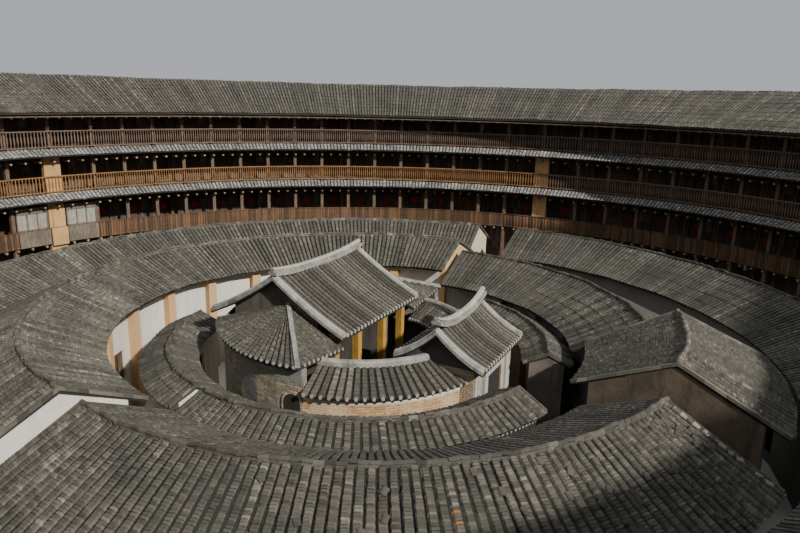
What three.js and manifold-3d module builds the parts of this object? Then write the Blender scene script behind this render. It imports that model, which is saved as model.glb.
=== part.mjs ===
// A four-storey round earth house with two inner rings, a corridor ring and a hall, at half its real size.
// Everything is in millimetres, with +Z up and the foot of the walls at z = 0.
// Azimuths are degrees clockwise from +Y, seen from above. The middle of the outer ring is the origin.

import * as THREE from 'three';
import { mergeVertices } from 'three/addons/utils/BufferGeometryUtils.js';
import { ConvexGeometry } from 'three/addons/geometries/ConvexGeometry.js';
import Module from 'manifold-3d';

const wasm = await Module();
wasm.setup();

// One metre of the real building
const METRE = 500;

// Space left between two pieces that rest on each other
const GAP = 0.3;

// Taller than any part of the house, for cuts that go right through
const CLEAR_HEIGHT = 20 * METRE;

const FULL_TURN = 360;

// Edges shorter than this are closed up
const SHORTEST = 0.03;

// Flat sides of a full turn
const OUTER_SIDES = 40;
const INNER_SIDES = 36;
const HALF_SIDE = FULL_TURN / INNER_SIDES / 2;

// The bays of the outer ring run between four stations, each with an earth pier in the gallery's front
const STATIONS = [-52.4, 27, 122.6, 214];
const BAYS_AFTER_STATION = [17, 19, 19, 19];
const END_BAY_ANGLE = 5.9;

// Storeys of the outer ring: the top of each floor
const FLOOR_LEVELS = [0, 4.05 * METRE, 7.0 * METRE, 9.57 * METRE];
const FLOOR_THICKNESS = 0.2 * METRE;
const FLOOR_IN = 24.52 * METRE;
const FLOOR_OUT = 29.9 * METRE - GAP;

// Bearers that carry the gallery's front: under the pent roofs, and level with the floor under the parapet
const BEARER = { inside: 24.0 * METRE, outside: 25.2 * METRE, width: 0.16 * METRE, depth: 0.3 * METRE };
const BEARERS_PER_QUARTER = 2;
const UPPER_STOREYS = [1, 2, 3];
const TOP_STOREY = 3;

// Outer earth wall, up to the underside of the roof
const WALL = { inside: 29.9 * METRE, outsideFoot: 31.3 * METRE, outsideTop: 31.0 * METRE };
const PLINTH = { inside: 29.8 * METRE, outside: 31.5 * METRE, top: 1.0 * METRE, sill: 0.12 * METRE };
const WALL_JOINT_BAYS = [0, 22, 40, 60];
const WALL_WINDOW = { width: 0.75 * METRE, height: 0.85 * METRE, sill: 0.95 * METRE };
const WALL_WINDOW_ROWS = [{ storey: 2, first: 0 }, { storey: 3, first: 1 }];
const WINDOW_EVERY = 2;
const GATES = [
  { bay: 17, width: 1.8 * METRE, height: 2.5 * METRE },
  { bay: 35, width: 2.4 * METRE, height: 3.1 * METRE },
  { bay: 54, width: 1.8 * METRE, height: 2.5 * METRE },
];

// Room fronts behind the gallery
const FRONT = { inside: 26.0 * METRE, thickness: 0.12 * METRE };
const ROOM_DOOR = { width: 0.95 * METRE, height: 1.95 * METRE, sill: 0.12 * METRE };
const DOOR_EVERY = 3;

// Gallery posts, railings, parapet and pent roofs
const POST = { inside: 24.2 * METRE, outside: 24.42 * METRE, width: 0.2 * METRE };
const EAVE_PLATE = { inside: 24.12 * METRE, outside: 24.5 * METRE, low: 11.6 * METRE };
const PIER = { inside: 24.12 * METRE, outside: 24.42 * METRE, width: 0.95 * METRE };
const RAIL = { inside: 24.0 * METRE, outside: 24.1 * METRE };
const RAILS = [
  { name: 'parapet_2', storey: 1, height: 0.95 * METRE },
  { name: 'railing_3', storey: 2, height: 1.02 * METRE },
  { name: 'railing_4', storey: 3, height: 1.0 * METRE },
];
const PENT = {
  inside: 23.35 * METRE, ledge: 23.98 * METRE, outside: 24.1 * METRE, fall: 0.33 * METRE,
  thickness: 0.14 * METRE,
};
const PENT_STOREYS = [2, 3];

// Main roof
const MAIN_ROOF = {
  ridge: [28.0 * METRE, 13.85 * METRE],
  inner: [23.0 * METRE, 11.68 * METRE],
  outer: [33.4 * METRE, 11.5 * METRE],
  thickness: 0.26 * METRE,
};

// Inner rings, in metres of the real building: radius and height of the ridge, radii of the eaves and walls.
// Their bays are given in degrees. A ring with through doors has doors in its back wall too.
const RING_ROOF_THICKNESS = 0.2 * METRE;
const RING_WALL = 0.3 * METRE;
const SECTOR_GAP = 0.005;
const WALL_JOINT_ANGLE = 0.0012;
const WIDE_CENTRE = -0.25 * METRE;
const SECOND_CENTRE = -1.0 * METRE;
const HALL_CENTRE = -0.7 * METRE;
const PITCH = 0.45;

const RINGS = [
  {
    name: 'first_ring_left', centre: WIDE_CENTRE, from: -145, to: 21.5,
    ridge: 17.1, height: 5.4, inner: 14.9, outer: 19.9, wallIn: 15.4, wallOut: 19.3,
    bay: 26, posts: false, through: false,
  },
  {
    name: 'first_ring_right', centre: WIDE_CENTRE, from: 29.5, to: 114,
    ridge: 17.1, height: 5.4, inner: 14.5, outer: 19.9, wallIn: 15.0, wallOut: 19.3,
    bay: 26, posts: false, through: false,
  },
  {
    name: 'first_ring_near', centre: WIDE_CENTRE, from: 125, to: 207,
    ridge: 17.3, height: 5.3, inner: 15.1, outer: 19.9, wallIn: 15.6, wallOut: 19.3,
    bay: 26, posts: false, through: false,
  },
  {
    name: 'second_ring_left', centre: SECOND_CENTRE, from: -141, to: 27,
    ridge: 11.25, height: 5.67, inner: 8.85, outer: 13.6, wallIn: 9.45, wallOut: 13.0,
    bay: 15, posts: true, through: false,
  },
  {
    name: 'second_ring_right', centre: SECOND_CENTRE, from: 29, to: 100.4,
    ridge: 10.8, height: 5.2, inner: 8.25, outer: 13.2, wallIn: 8.95, wallOut: 12.7,
    bay: 15, posts: true, through: false,
  },
  {
    name: 'entry_block', centre: SECOND_CENTRE, from: 100.4, to: 126,
    ridge: 11.75, height: 5.82, inner: 8.7, outer: 14.8, wallIn: 9.3, wallOut: 14.2,
    bay: 13, posts: false, through: true,
  },
  {
    name: 'second_ring_near', centre: WIDE_CENTRE, cutCentre: SECOND_CENTRE, from: 131, to: 219,
    ridge: 11.23, height: 5.1, inner: 8.75, outer: 14.4, wallIn: 9.3, wallOut: 13.8,
    bay: 15, posts: true, through: false,
  },
  {
    name: 'corridor_left', centre: HALL_CENTRE, from: -135, to: -72,
    ridge: 7.15, height: 4.1, inner: 6.15, outer: 8.05, wallIn: 6.45, wallOut: 7.75,
    bay: 31, posts: false, through: true,
  },
  {
    name: 'corridor_near', centre: HALL_CENTRE, from: 133, to: 222,
    ridge: 7.1, height: 4.05, inner: 6.1, outer: 8.1, wallIn: 6.4, wallOut: 7.8,
    bay: 29, posts: false, through: true,
  },
  {
    name: 'corridor_right', centre: HALL_CENTRE, from: 46, to: 105,
    ridge: 7.1, height: 4.05, inner: 6.2, outer: 7.95, wallIn: 6.45, wallOut: 7.7,
    bay: 29, posts: false, through: true,
  },
];
const RING_DOOR = { width: 1.0 * METRE, low: 0.15 * METRE, high: 2.15 * METRE };
const RING_WINDOW = { width: 1.3 * METRE, low: 1.5 * METRE, high: 2.8 * METRE };
const BACK_WINDOW = { width: 0.8 * METRE, low: 1.7 * METRE, high: 2.5 * METRE };
const PILLAR = { out: 0.35 * METRE, into: 0.1 * METRE, width: 0.42 * METRE, drop: 0.04 * METRE };

// Hall: its axis points to the main gate, along is measured from the hall's centre towards the gate
const HALL_AXIS = 119;
const HALL_WALL = { inside: 4.95 * METRE, outside: 5.2 * METRE, sideTop: 4.3 * METRE, rearTop: 4.7 * METRE };
const HALL_ROOF_THICKNESS = 0.18 * METRE;
const MAIN_HALL = {
  ridgeAlong: -1.97 * METRE, ridgeHeight: 6.65 * METRE, backAlong: -4.95 * METRE, frontAlong: 0.96 * METRE,
  eaveHeight: 4.97 * METRE, halfLength: 2.93 * METRE, wallBack: -4.0 * METRE, wallFront: 0.35 * METRE,
  gableFront: -0.25 * METRE, doorBack: -1.9 * METRE, doorFront: -0.95 * METRE,
};
const GATE_HALL = {
  ridgeAlong: 4.06 * METRE, ridgeHeight: 5.5 * METRE, backAlong: 2.5 * METRE, frontAlong: 5.75 * METRE,
  eaveHeight: 4.42 * METRE, halfLength: 2.1 * METRE, wallBack: 2.85 * METRE, wallFront: 5.35 * METRE,
  doorWidth: 1.4 * METRE, doorTop: 2.6 * METRE,
};
const GABLE_INSET = 0.3 * METRE;
const HALL_WALL_THICKNESS = 0.25 * METRE;
const WING_ROOF = {
  ridge: [4.05 * METRE, 4.4 * METRE], inner: [3.0 * METRE, 3.88 * METRE], outer: [5.45 * METRE, 3.88 * METRE],
  thickness: 0.14 * METRE,
};
const WING_TURN = { front: 20, back: 80, joint: 0.007 };
const AISLE = {
  apexAlong: -1.5 * METRE, apexHeight: 5.6 * METRE, rim: 5.42 * METRE, rimHeight: 4.7 * METRE,
  backAlong: -4.3 * METRE, frontAlong: 0.86 * METRE, cornerHeight: 4.45 * METRE,
  thickness: 0.12 * METRE, spread: 0.02 * METRE, sides: 8,
};
const AISLE_TURN = { front: 81, back: 147, rear: 150 };
const HALL_DOOR = { width: 0.95 * METRE, low: 0.15 * METRE, high: 2.3 * METRE, turn: 88.6, archSides: 16 };
const COLUMN = { size: 0.26 * METRE, middle: 0.95 * METRE, beam: 0.35 * METRE, beamWidth: 0.18 * METRE };

const COLOURS = {
  earth: 0x8c7456, stone: 0x77736b, timber: 0x5a4130, rail: 0x8a5a30, tile: 0x4a4a46,
  plaster: 0xd8d2c4, pier: 0xb48a52, hallWall: 0x6f6a62, cream: 0xcdb48a,
};
const ROUGHNESS = 0.9;

const house = new THREE.Group();

const radians = THREE.MathUtils.degToRad;

// Point at a radius and an azimuth
function polar(radius, azimuth) {
  return [radius * Math.sin(radians(azimuth)), radius * Math.cos(radians(azimuth))];
}

// A solid for joining and cutting, made from a closed geometry
function solid(geometry) {
  const plain = geometry.clone();
  plain.deleteAttribute('normal');
  if (plain.getAttribute('uv')) plain.deleteAttribute('uv');
  const merged = mergeVertices(plain);
  return new wasm.Manifold(new wasm.Mesh({
    numProp: 3,
    vertProperties: new Float32Array(merged.attributes.position.array),
    triVerts: new Uint32Array(merged.index.array),
  }));
}

// Adds a finished solid to the house as a named mesh, cleared of edges too short to see
function addPiece(name, shape, colour) {
  const mesh = shape.simplify(SHORTEST).getMesh();
  const geometry = new THREE.BufferGeometry();
  geometry.setAttribute('position', new THREE.BufferAttribute(mesh.vertProperties, 3));
  geometry.setIndex(new THREE.BufferAttribute(mesh.triVerts, 1));
  const material = new THREE.MeshStandardMaterial({ color: colour, roughness: ROUGHNESS, flatShading: true });
  const piece = new THREE.Mesh(geometry, material);
  piece.name = name;
  house.add(piece);
}

// Full ring from an outline of [radius, height] points
function ring(outline, sides = OUTER_SIDES, centre = 0) {
  const points = outline.map(([radius, height]) => new THREE.Vector2(radius, height));
  if (THREE.ShapeUtils.area(points) < 0) points.reverse();
  points.push(points[0].clone());
  const lathe = new THREE.LatheGeometry(points, sides);
  lathe.rotateX(Math.PI / 2);
  lathe.translate(centre, 0, 0);
  return solid(lathe);
}

// Ring with a rectangular section
function band(inside, outside, low, high, sides = OUTER_SIDES, centre = 0) {
  return ring([[inside, low], [outside, low], [outside, high], [inside, high]], sides, centre);
}

// Everything between two azimuths around a centre
function wedge(from, to, centre = 0) {
  const reach = 45 * METRE;
  const stepAngle = 30;
  const steps = Math.ceil((to - from) / stepAngle);
  const outline = new THREE.Shape();
  outline.moveTo(0, 0);
  for (let step = 0; step <= steps; step += 1) {
    outline.lineTo(...polar(reach, from + ((to - from) * step) / steps));
  }
  outline.closePath();
  const geometry = new THREE.ExtrudeGeometry(outline, { depth: reach, bevelEnabled: false });
  geometry.translate(centre, 0, -METRE);
  return solid(geometry);
}

// Box that spans two radii at an azimuth, square to the radius
function radialBox(inside, outside, width, low, high, azimuth, centre = 0) {
  const box = new THREE.BoxGeometry(width, outside - inside, high - low);
  box.translate(0, (inside + outside) / 2, (low + high) / 2);
  box.rotateZ(-radians(azimuth));
  box.translate(centre, 0, 0);
  return solid(box);
}

// The azimuths of all bay lines, in order
function bayLines() {
  const lines = [];
  STATIONS.forEach((start, quarter) => {
    const end = quarter + 1 < STATIONS.length ? STATIONS[quarter + 1] : STATIONS[0] + FULL_TURN;
    const count = BAYS_AFTER_STATION[quarter];
    const step = (end - start - 2 * END_BAY_ANGLE) / (count - 2);
    lines.push(start);
    for (let bay = 1; bay < count; bay += 1) lines.push(start + END_BAY_ANGLE + (bay - 1) * step);
  });
  return lines;
}

const LINES = bayLines();

function bayStart(bay) {
  return LINES[bay % LINES.length] + (bay >= LINES.length ? FULL_TURN : 0);
}

function bayCentre(bay) {
  return (bayStart(bay) + bayStart(bay + 1)) / 2;
}

function everyBay(make) {
  return LINES.map((line, bay) => make(bay)).filter((item) => item !== null);
}

// Passages of the gates, through the room fronts, the wall and the plinth, open down to the sill
function gateCuts() {
  return GATES.map(({ bay, width, height }) => radialBox(
    FRONT.inside - METRE, WALL.outsideFoot + METRE, width, PLINTH.sill, height, bayCentre(bay),
  ));
}

// Small windows of the upper storeys, in every second bay and staggered from one storey to the next
function wallWindowCuts({ storey, first }) {
  const low = FLOOR_LEVELS[storey] + WALL_WINDOW.sill;
  return everyBay((bay) => (bay % WINDOW_EVERY !== first ? null : radialBox(
    WALL.inside - METRE, WALL.outsideFoot + METRE, WALL_WINDOW.width,
    low, low + WALL_WINDOW.height, bayCentre(bay),
  )));
}

// Height of a sloping roof's underside at a radius
function underside(roof, radius) {
  const [edgeRadius, edgeHeight] = radius < roof.ridge[0] ? roof.inner : roof.outer;
  const share = (radius - edgeRadius) / (roof.ridge[0] - edgeRadius);
  return edgeHeight + share * (roof.ridge[1] - edgeHeight) - roof.thickness;
}

function addOuterWall() {
  const whole = ring([
    [WALL.inside, PLINTH.top + GAP], [WALL.outsideFoot, PLINTH.top + GAP],
    [WALL.outsideTop, underside(MAIN_ROOF, WALL.outsideTop) - GAP],
    [WALL.inside, underside(MAIN_ROOF, WALL.inside) - GAP],
  ]);
  const cuts = [...gateCuts(), ...WALL_WINDOW_ROWS.flatMap(wallWindowCuts)];
  const pierced = whole.subtract(wasm.Manifold.union(cuts));
  WALL_JOINT_BAYS.forEach((bay, index) => {
    const next = index + 1 < WALL_JOINT_BAYS.length ? WALL_JOINT_BAYS[index + 1] : LINES.length;
    const part = pierced.intersect(wedge(bayStart(bay), bayStart(next) - WALL_JOINT_ANGLE));
    addPiece(`outer_wall_${index + 1}`, part, COLOURS.earth);
  });
  const plinth = band(PLINTH.inside, PLINTH.outside, 0, PLINTH.top).subtract(wasm.Manifold.union(gateCuts()));
  addPiece('stone_plinth', plinth, COLOURS.stone);
}

// Top of the bearers under a storey's gallery front
function bearerTop(storey) {
  const ledge = storey === 1 ? 0 : PENT.thickness + GAP;
  return FLOOR_LEVELS[storey] - ledge - GAP;
}

// The piers end under the bearers of the highest floor
const PIER_TOP = bearerTop(TOP_STOREY) - BEARER.depth - GAP;

// Each floor is a ring of boards with bearers that reach past the posts; the highest has some over the piers
function addFloors() {
  UPPER_STOREYS.forEach((storey) => {
    const top = FLOOR_LEVELS[storey];
    const high = bearerTop(storey);
    const bearer = (azimuth) => radialBox(
      BEARER.inside, BEARER.outside, BEARER.width, high - BEARER.depth, high, azimuth,
    );
    const bearers = STATIONS.flatMap((line, quarter) => {
      const firstBay = BAYS_AFTER_STATION.slice(0, quarter).reduce((sum, count) => sum + count, 0);
      const share = Math.floor(BAYS_AFTER_STATION[quarter] / (BEARERS_PER_QUARTER + 1));
      const between = [];
      for (let index = 1; index <= BEARERS_PER_QUARTER; index += 1) {
        between.push(bearer(bayCentre(firstBay + index * share)));
      }
      return storey === TOP_STOREY ? [bearer(line), ...between] : between;
    });
    const boards = band(FLOOR_IN, FLOOR_OUT, top - FLOOR_THICKNESS, top);
    addPiece(`floor_${storey + 1}`, boards.add(wasm.Manifold.union(bearers)), COLOURS.timber);
  });
}

// One room front a storey, with a doorway in every third bay
function addRoomFronts() {
  FLOOR_LEVELS.forEach((floor, storey) => {
    const roofed = storey === TOP_STOREY;
    const above = roofed ? underside(MAIN_ROOF, FRONT.inside) : FLOOR_LEVELS[storey + 1] - FLOOR_THICKNESS;
    const low = floor + (storey > 0 ? GAP : 0);
    const front = band(FRONT.inside, FRONT.inside + FRONT.thickness, low, above - GAP);
    const doors = everyBay((bay) => (bay % DOOR_EVERY ? null : radialBox(
      FRONT.inside - METRE, FRONT.inside + METRE, ROOM_DOOR.width,
      floor + ROOM_DOOR.sill, floor + ROOM_DOOR.sill + ROOM_DOOR.height, bayCentre(bay),
    )));
    const cuts = storey === 0 ? [...doors, ...gateCuts()] : doors;
    addPiece(`room_front_${storey + 1}`, front.subtract(wasm.Manifold.union(cuts)), COLOURS.timber);
  });
}

// Posts at every bay line, joined by the eave plate that they carry. The plate's joints are half a bay past
// each station.
function addGalleryPosts() {
  const plateTop = underside(MAIN_ROOF, EAVE_PLATE.inside) - GAP;
  const postTop = (EAVE_PLATE.low + plateTop) / 2;
  const plate = band(EAVE_PLATE.inside, EAVE_PLATE.outside, EAVE_PLATE.low, plateTop);
  const posts = everyBay((bay) => radialBox(
    POST.inside, POST.outside, POST.width,
    STATIONS.includes(LINES[bay]) ? FLOOR_LEVELS[TOP_STOREY] : 0, postTop, bayStart(bay),
  ));
  const frame = plate.add(wasm.Manifold.union(posts));
  let bay = 0;
  BAYS_AFTER_STATION.forEach((count, quarter) => {
    const next = bay + count;
    const end = bayCentre(next % LINES.length) + (next >= LINES.length ? FULL_TURN : 0);
    const part = frame.intersect(wedge(bayCentre(bay), end - WALL_JOINT_ANGLE));
    addPiece(`gallery_posts_${quarter + 1}`, part, COLOURS.timber);
    bay = next;
  });
  STATIONS.forEach((line, index) => {
    const pier = radialBox(PIER.inside, PIER.outside, PIER.width, 0, PIER_TOP, line);
    addPiece(`earth_pier_${index + 1}`, pier, COLOURS.pier);
  });
}

// Railing of each upper storey, and the small tiled roofs under the two highest
function addGalleryFronts() {
  RAILS.forEach(({ name, storey, height }) => {
    const floor = FLOOR_LEVELS[storey];
    addPiece(name, band(RAIL.inside, RAIL.outside, floor, floor + height), COLOURS.rail);
  });
  PENT_STOREYS.forEach((storey) => {
    const top = FLOOR_LEVELS[storey] - GAP;
    const low = top - PENT.thickness;
    const pent = ring([
      [PENT.inside, top - PENT.fall], [PENT.ledge, top], [PENT.outside, top],
      [PENT.outside, low], [PENT.ledge, low], [PENT.inside, low - PENT.fall],
    ]);
    addPiece(`pent_roof_${storey + 1}`, pent, COLOURS.tile);
  });
}

// Two slopes of one thickness that meet in a ridge
function gableRing(roof, sides, centre) {
  const lower = ([radius, height]) => [radius, height - roof.thickness];
  return ring([
    roof.inner, lower(roof.inner), lower(roof.ridge), lower(roof.outer), roof.outer, roof.ridge,
  ], sides, centre);
}

function addMainRoof() {
  addPiece('main_roof', gableRing(MAIN_ROOF, OUTER_SIDES, 0), COLOURS.tile);
}

// Roof sizes of an inner ring, in millimetres, with both eaves at the common pitch
function ringRoof({ ridge, height, inner, outer }) {
  return {
    ridge: [ridge * METRE, height * METRE],
    inner: [inner * METRE, (height - (ridge - inner) * PITCH) * METRE],
    outer: [outer * METRE, (height - (outer - ridge) * PITCH) * METRE],
    thickness: RING_ROOF_THICKNESS,
  };
}

// Openings of an inner ring: doors and windows in turn to the court, doors or small windows at the back
function ringOpenings(part) {
  const cuts = [];
  const count = Math.floor((part.to - part.from) / part.bay);
  const start = (part.from + part.to - (count - 1) * part.bay) / 2;
  const centre = part.centre;
  const reach = 2 * RING_WALL;
  for (let bay = 0; bay < count; bay += 1) {
    const azimuth = start + bay * part.bay;
    const front = bay % 2 ? RING_WINDOW : RING_DOOR;
    const inside = part.wallIn * METRE;
    const outside = part.wallOut * METRE;
    cuts.push(radialBox(inside - reach, inside + reach, front.width, front.low, front.high, azimuth, centre));
    const back = part.through ? RING_DOOR : BACK_WINDOW;
    cuts.push(radialBox(outside - reach, outside + reach, back.width, back.low, back.high, azimuth, centre));
  }
  return wasm.Manifold.union(cuts);
}

// Square pillars in front of the court wall, half a bay from its openings
function ringPillars(part) {
  const pillars = [];
  const count = Math.floor((part.to - part.from) / part.bay);
  const start = (part.from + part.to - count * part.bay) / 2;
  for (let bay = 1; bay < count; bay += 1) {
    pillars.push(radialBox(
      part.wallIn * METRE - PILLAR.out, part.wallIn * METRE + PILLAR.into, PILLAR.width,
      0, part.height * METRE, start + bay * part.bay, part.centre,
    ));
  }
  return wasm.Manifold.union(pillars);
}

// Ring between two radii, from a level up to a little under the slopes of a roof
function underRoof(roof, inside, outside, low, drop, centre) {
  const top = (radius) => [radius, underside(roof, radius) - drop];
  const outline = [[inside, low], [outside, low], top(outside)];
  if (outside > roof.ridge[0]) outline.push([roof.ridge[0], roof.ridge[1] - roof.thickness - drop]);
  return ring([...outline, top(inside)], INNER_SIDES, centre);
}

// One part of an inner ring. Its room is turned by half a side, so that its corners miss those of the roof.
function addInnerRing(part) {
  const roof = ringRoof(part);
  const cut = wedge(part.from, part.to - SECTOR_GAP, part.cutCentre ?? part.centre);
  const tiles = gableRing(roof, INNER_SIDES, part.centre).intersect(cut);
  addPiece(`${part.name}_roof`, tiles, COLOURS.tile);

  const inside = part.wallIn * METRE;
  const outside = part.wallOut * METRE;
  const shell = underRoof(roof, inside, outside, 0, GAP, part.centre);
  const endAngle = THREE.MathUtils.radToDeg(RING_WALL / inside);
  const inner = wedge(part.from + endAngle, part.to - endAngle, part.cutCentre ?? part.centre);
  const room = band(inside + RING_WALL, outside - RING_WALL, -METRE, CLEAR_HEIGHT, INNER_SIDES)
    .rotate([0, 0, HALF_SIDE]).translate([part.centre, 0, 0]).intersect(inner);
  let walls = shell.subtract(room).subtract(ringOpenings(part));
  if (part.posts) {
    const place = underRoof(roof, roof.inner[0] + GAP, inside + METRE, -METRE, PILLAR.drop, 0)
      .rotate([0, 0, HALF_SIDE]).translate([part.centre, 0, 0]);
    walls = walls.add(ringPillars(part).intersect(place));
  }
  addPiece(`${part.name}_walls`, walls.intersect(cut), COLOURS.plaster);
}

// Turns a shape built along the hall's own axes into its place: +X along the axis, +Y across
function placeInHall(geometry) {
  geometry.rotateZ(radians(90 - HALL_AXIS));
  geometry.translate(HALL_CENTRE, 0, 0);
  return solid(geometry);
}

// Box between two corners in the hall's own axes
function hallBox([fromAlong, fromAcross, low], [toAlong, toAcross, high]) {
  const box = new THREE.BoxGeometry(toAlong - fromAlong, toAcross - fromAcross, high - low);
  box.translate((fromAlong + toAlong) / 2, (fromAcross + toAcross) / 2, (low + high) / 2);
  return placeInHall(box);
}

// Outline of [along, height] points, extruded across the hall
function hallExtrusion(outline, fromAcross, toAcross) {
  const shape = new THREE.Shape(outline.map(([along, height]) => new THREE.Vector2(along, height)));
  const geometry = new THREE.ExtrudeGeometry(shape, { depth: toAcross - fromAcross, bevelEnabled: false });
  geometry.rotateX(Math.PI / 2);
  geometry.translate(0, toAcross, 0);
  return placeInHall(geometry);
}

function hallRoofOutline(hall, lift) {
  return [
    [hall.backAlong, hall.eaveHeight + lift], [hall.ridgeAlong, hall.ridgeHeight + lift],
    [hall.frontAlong, hall.eaveHeight + lift],
  ];
}

// Height just under a hall roof at a place along the axis
function underHallHeight(hall, along) {
  const edge = along < hall.ridgeAlong ? hall.backAlong : hall.frontAlong;
  const share = (along - edge) / (hall.ridgeAlong - edge);
  return hall.eaveHeight + share * (hall.ridgeHeight - hall.eaveHeight) - HALL_ROOF_THICKNESS - GAP;
}

function addGableRoof(name, hall) {
  const upper = hallRoofOutline(hall, 0);
  const lower = hallRoofOutline(hall, -HALL_ROOF_THICKNESS).reverse();
  addPiece(name, hallExtrusion([...upper, ...lower], -hall.halfLength, hall.halfLength), COLOURS.tile);
}

// Solid space under a hall roof, between two places along the axis
function underHallRoof(hall) {
  const drop = -HALL_ROOF_THICKNESS - GAP;
  return hallExtrusion([
    [hall.backAlong, 0], ...hallRoofOutline(hall, drop), [hall.frontAlong, 0],
  ], -hall.halfLength, hall.halfLength);
}

// The main hall's gable walls and back wall, and the columns and beam of its open front
function addMainHall() {
  addGableRoof('main_hall_roof', MAIN_HALL);
  const side = MAIN_HALL.halfLength - GABLE_INSET;
  const block = hallBox([MAIN_HALL.wallBack, -side, 0], [MAIN_HALL.gableFront, side, CLEAR_HEIGHT]);
  const room = hallBox(
    [MAIN_HALL.wallBack + HALL_WALL_THICKNESS, -side + HALL_WALL_THICKNESS, -METRE],
    [METRE, side - HALL_WALL_THICKNESS, 2 * CLEAR_HEIGHT],
  );
  const doors = hallBox(
    [MAIN_HALL.doorBack, -side - METRE, HALL_DOOR.low], [MAIN_HALL.doorFront, side + METRE, HALL_DOOR.high],
  );
  const walls = block.subtract(room).subtract(doors).intersect(underHallRoof(MAIN_HALL));
  addPiece('main_hall_walls', walls, COLOURS.cream);

  const half = COLUMN.size / 2;
  const beamHalf = COLUMN.beamWidth / 2;
  const beamTop = underHallHeight(MAIN_HALL, MAIN_HALL.wallFront + beamHalf);
  const beamLow = beamTop - COLUMN.beam;
  const outer = side - half;
  const columns = [-outer, -COLUMN.middle, COLUMN.middle, outer].map((across) => hallBox(
    [MAIN_HALL.wallFront - half, across - half, 0],
    [MAIN_HALL.wallFront + half, across + half, beamLow + beamHalf],
  ));
  const beam = hallBox(
    [MAIN_HALL.wallFront - beamHalf, -outer, beamLow], [MAIN_HALL.wallFront + beamHalf, outer, beamTop],
  );
  addPiece('main_hall_columns', wasm.Manifold.union([...columns, beam]), COLOURS.rail);
}

function addGateHall() {
  addGableRoof('gate_hall_roof', GATE_HALL);
  const side = GATE_HALL.halfLength - GABLE_INSET;
  const block = hallBox([GATE_HALL.wallBack, -side, 0], [GATE_HALL.wallFront, side, CLEAR_HEIGHT]);
  const room = hallBox(
    [GATE_HALL.wallBack + HALL_WALL_THICKNESS, -side + HALL_WALL_THICKNESS, -METRE],
    [GATE_HALL.wallFront - HALL_WALL_THICKNESS, side - HALL_WALL_THICKNESS, 2 * CLEAR_HEIGHT],
  );
  const halfDoor = GATE_HALL.doorWidth / 2;
  const passage = hallBox(
    [0, -halfDoor, HALL_DOOR.low], [2 * GATE_HALL.wallFront, halfDoor, GATE_HALL.doorTop],
  );
  const walls = block.subtract(room).subtract(passage).intersect(underHallRoof(GATE_HALL));
  addPiece('gate_hall_walls', walls, COLOURS.cream);
}

// Doorway with a round head through the round wall
function archedDoor(azimuth) {
  const half = HALL_DOOR.width / 2;
  const spring = HALL_DOOR.high - half;
  const depth = METRE;
  const middle = (HALL_WALL.inside + HALL_WALL.outside) / 2;
  const opening = radialBox(
    middle - depth, middle + depth, HALL_DOOR.width, HALL_DOOR.low, spring, azimuth, HALL_CENTRE,
  );
  const arch = new THREE.CylinderGeometry(half, half, 2 * depth, HALL_DOOR.archSides);
  arch.translate(0, middle, spring);
  arch.rotateZ(-radians(azimuth));
  arch.translate(HALL_CENTRE, 0, 0);
  return opening.add(solid(arch));
}

// Half cone beside the main hall, from its gable wall down to the round wall.
// Its top lies as far under the roof's surface as asked, and grow widens it in plan.
function aisleHull(sign, under, height, grow = 0) {
  const edge = sign * (MAIN_HALL.halfLength - GABLE_INSET + GAP - grow);
  const rim = AISLE.rim + grow;
  const points = [
    [AISLE.apexAlong, edge, AISLE.apexHeight],
    [AISLE.backAlong - grow, edge, AISLE.rimHeight],
    [AISLE.frontAlong + grow, edge, AISLE.cornerHeight],
  ];
  for (let side = 0; side <= AISLE.sides; side += 1) {
    const turn = radians(AISLE_TURN.front + ((AISLE_TURN.back - AISLE_TURN.front) * side) / AISLE.sides);
    points.push([rim * Math.cos(turn), sign * rim * Math.sin(turn), AISLE.rimHeight]);
  }
  const corners = points.flatMap(([along, across, top]) => [
    new THREE.Vector3(along, across, top - under - height), new THREE.Vector3(along, across, top - under),
  ]);
  return placeInHall(new ConvexGeometry(corners));
}

// Tiled half-cone roofs of one thickness beside the main hall
function addAisleRoofs() {
  [['aisle_roof_near', -1], ['aisle_roof_far', 1]].forEach(([name, sign]) => {
    const whole = aisleHull(sign, 0, AISLE.thickness);
    const hollow = aisleHull(sign, AISLE.thickness, METRE, AISLE.spread);
    addPiece(name, whole.subtract(hollow), COLOURS.tile);
  });
}

// Round wall behind and beside the main hall, up to the aisle roofs, with an arched door on each side
function addHallRound() {
  const { inside, outside, sideTop, rearTop } = HALL_WALL;
  const under = AISLE.thickness + GAP;
  const block = (top) => band(METRE, outside + METRE, -METRE, top, INNER_SIDES, HALL_CENTRE);
  const rear = block(rearTop)
    .intersect(wedge(HALL_AXIS + AISLE_TURN.rear, HALL_AXIS - AISLE_TURN.rear + FULL_TURN, HALL_CENTRE));
  const reached = wasm.Manifold.union([
    block(sideTop), rear, aisleHull(-1, under, sideTop), aisleHull(1, under, sideTop),
  ]);
  const firstSide = HALL_AXIS + WING_TURN.back + WING_TURN.joint - FULL_TURN;
  const lastSide = HALL_AXIS - WING_TURN.back - WING_TURN.joint;
  const wall = band(inside, outside, 0, AISLE.apexHeight, INNER_SIDES, HALL_CENTRE)
    .intersect(reached)
    .intersect(wedge(firstSide, lastSide, HALL_CENTRE))
    .subtract(archedDoor(HALL_AXIS + HALL_DOOR.turn))
    .subtract(archedDoor(HALL_AXIS - HALL_DOOR.turn));
  addPiece('hall_round_wall', wall, COLOURS.hallWall);
}

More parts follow.
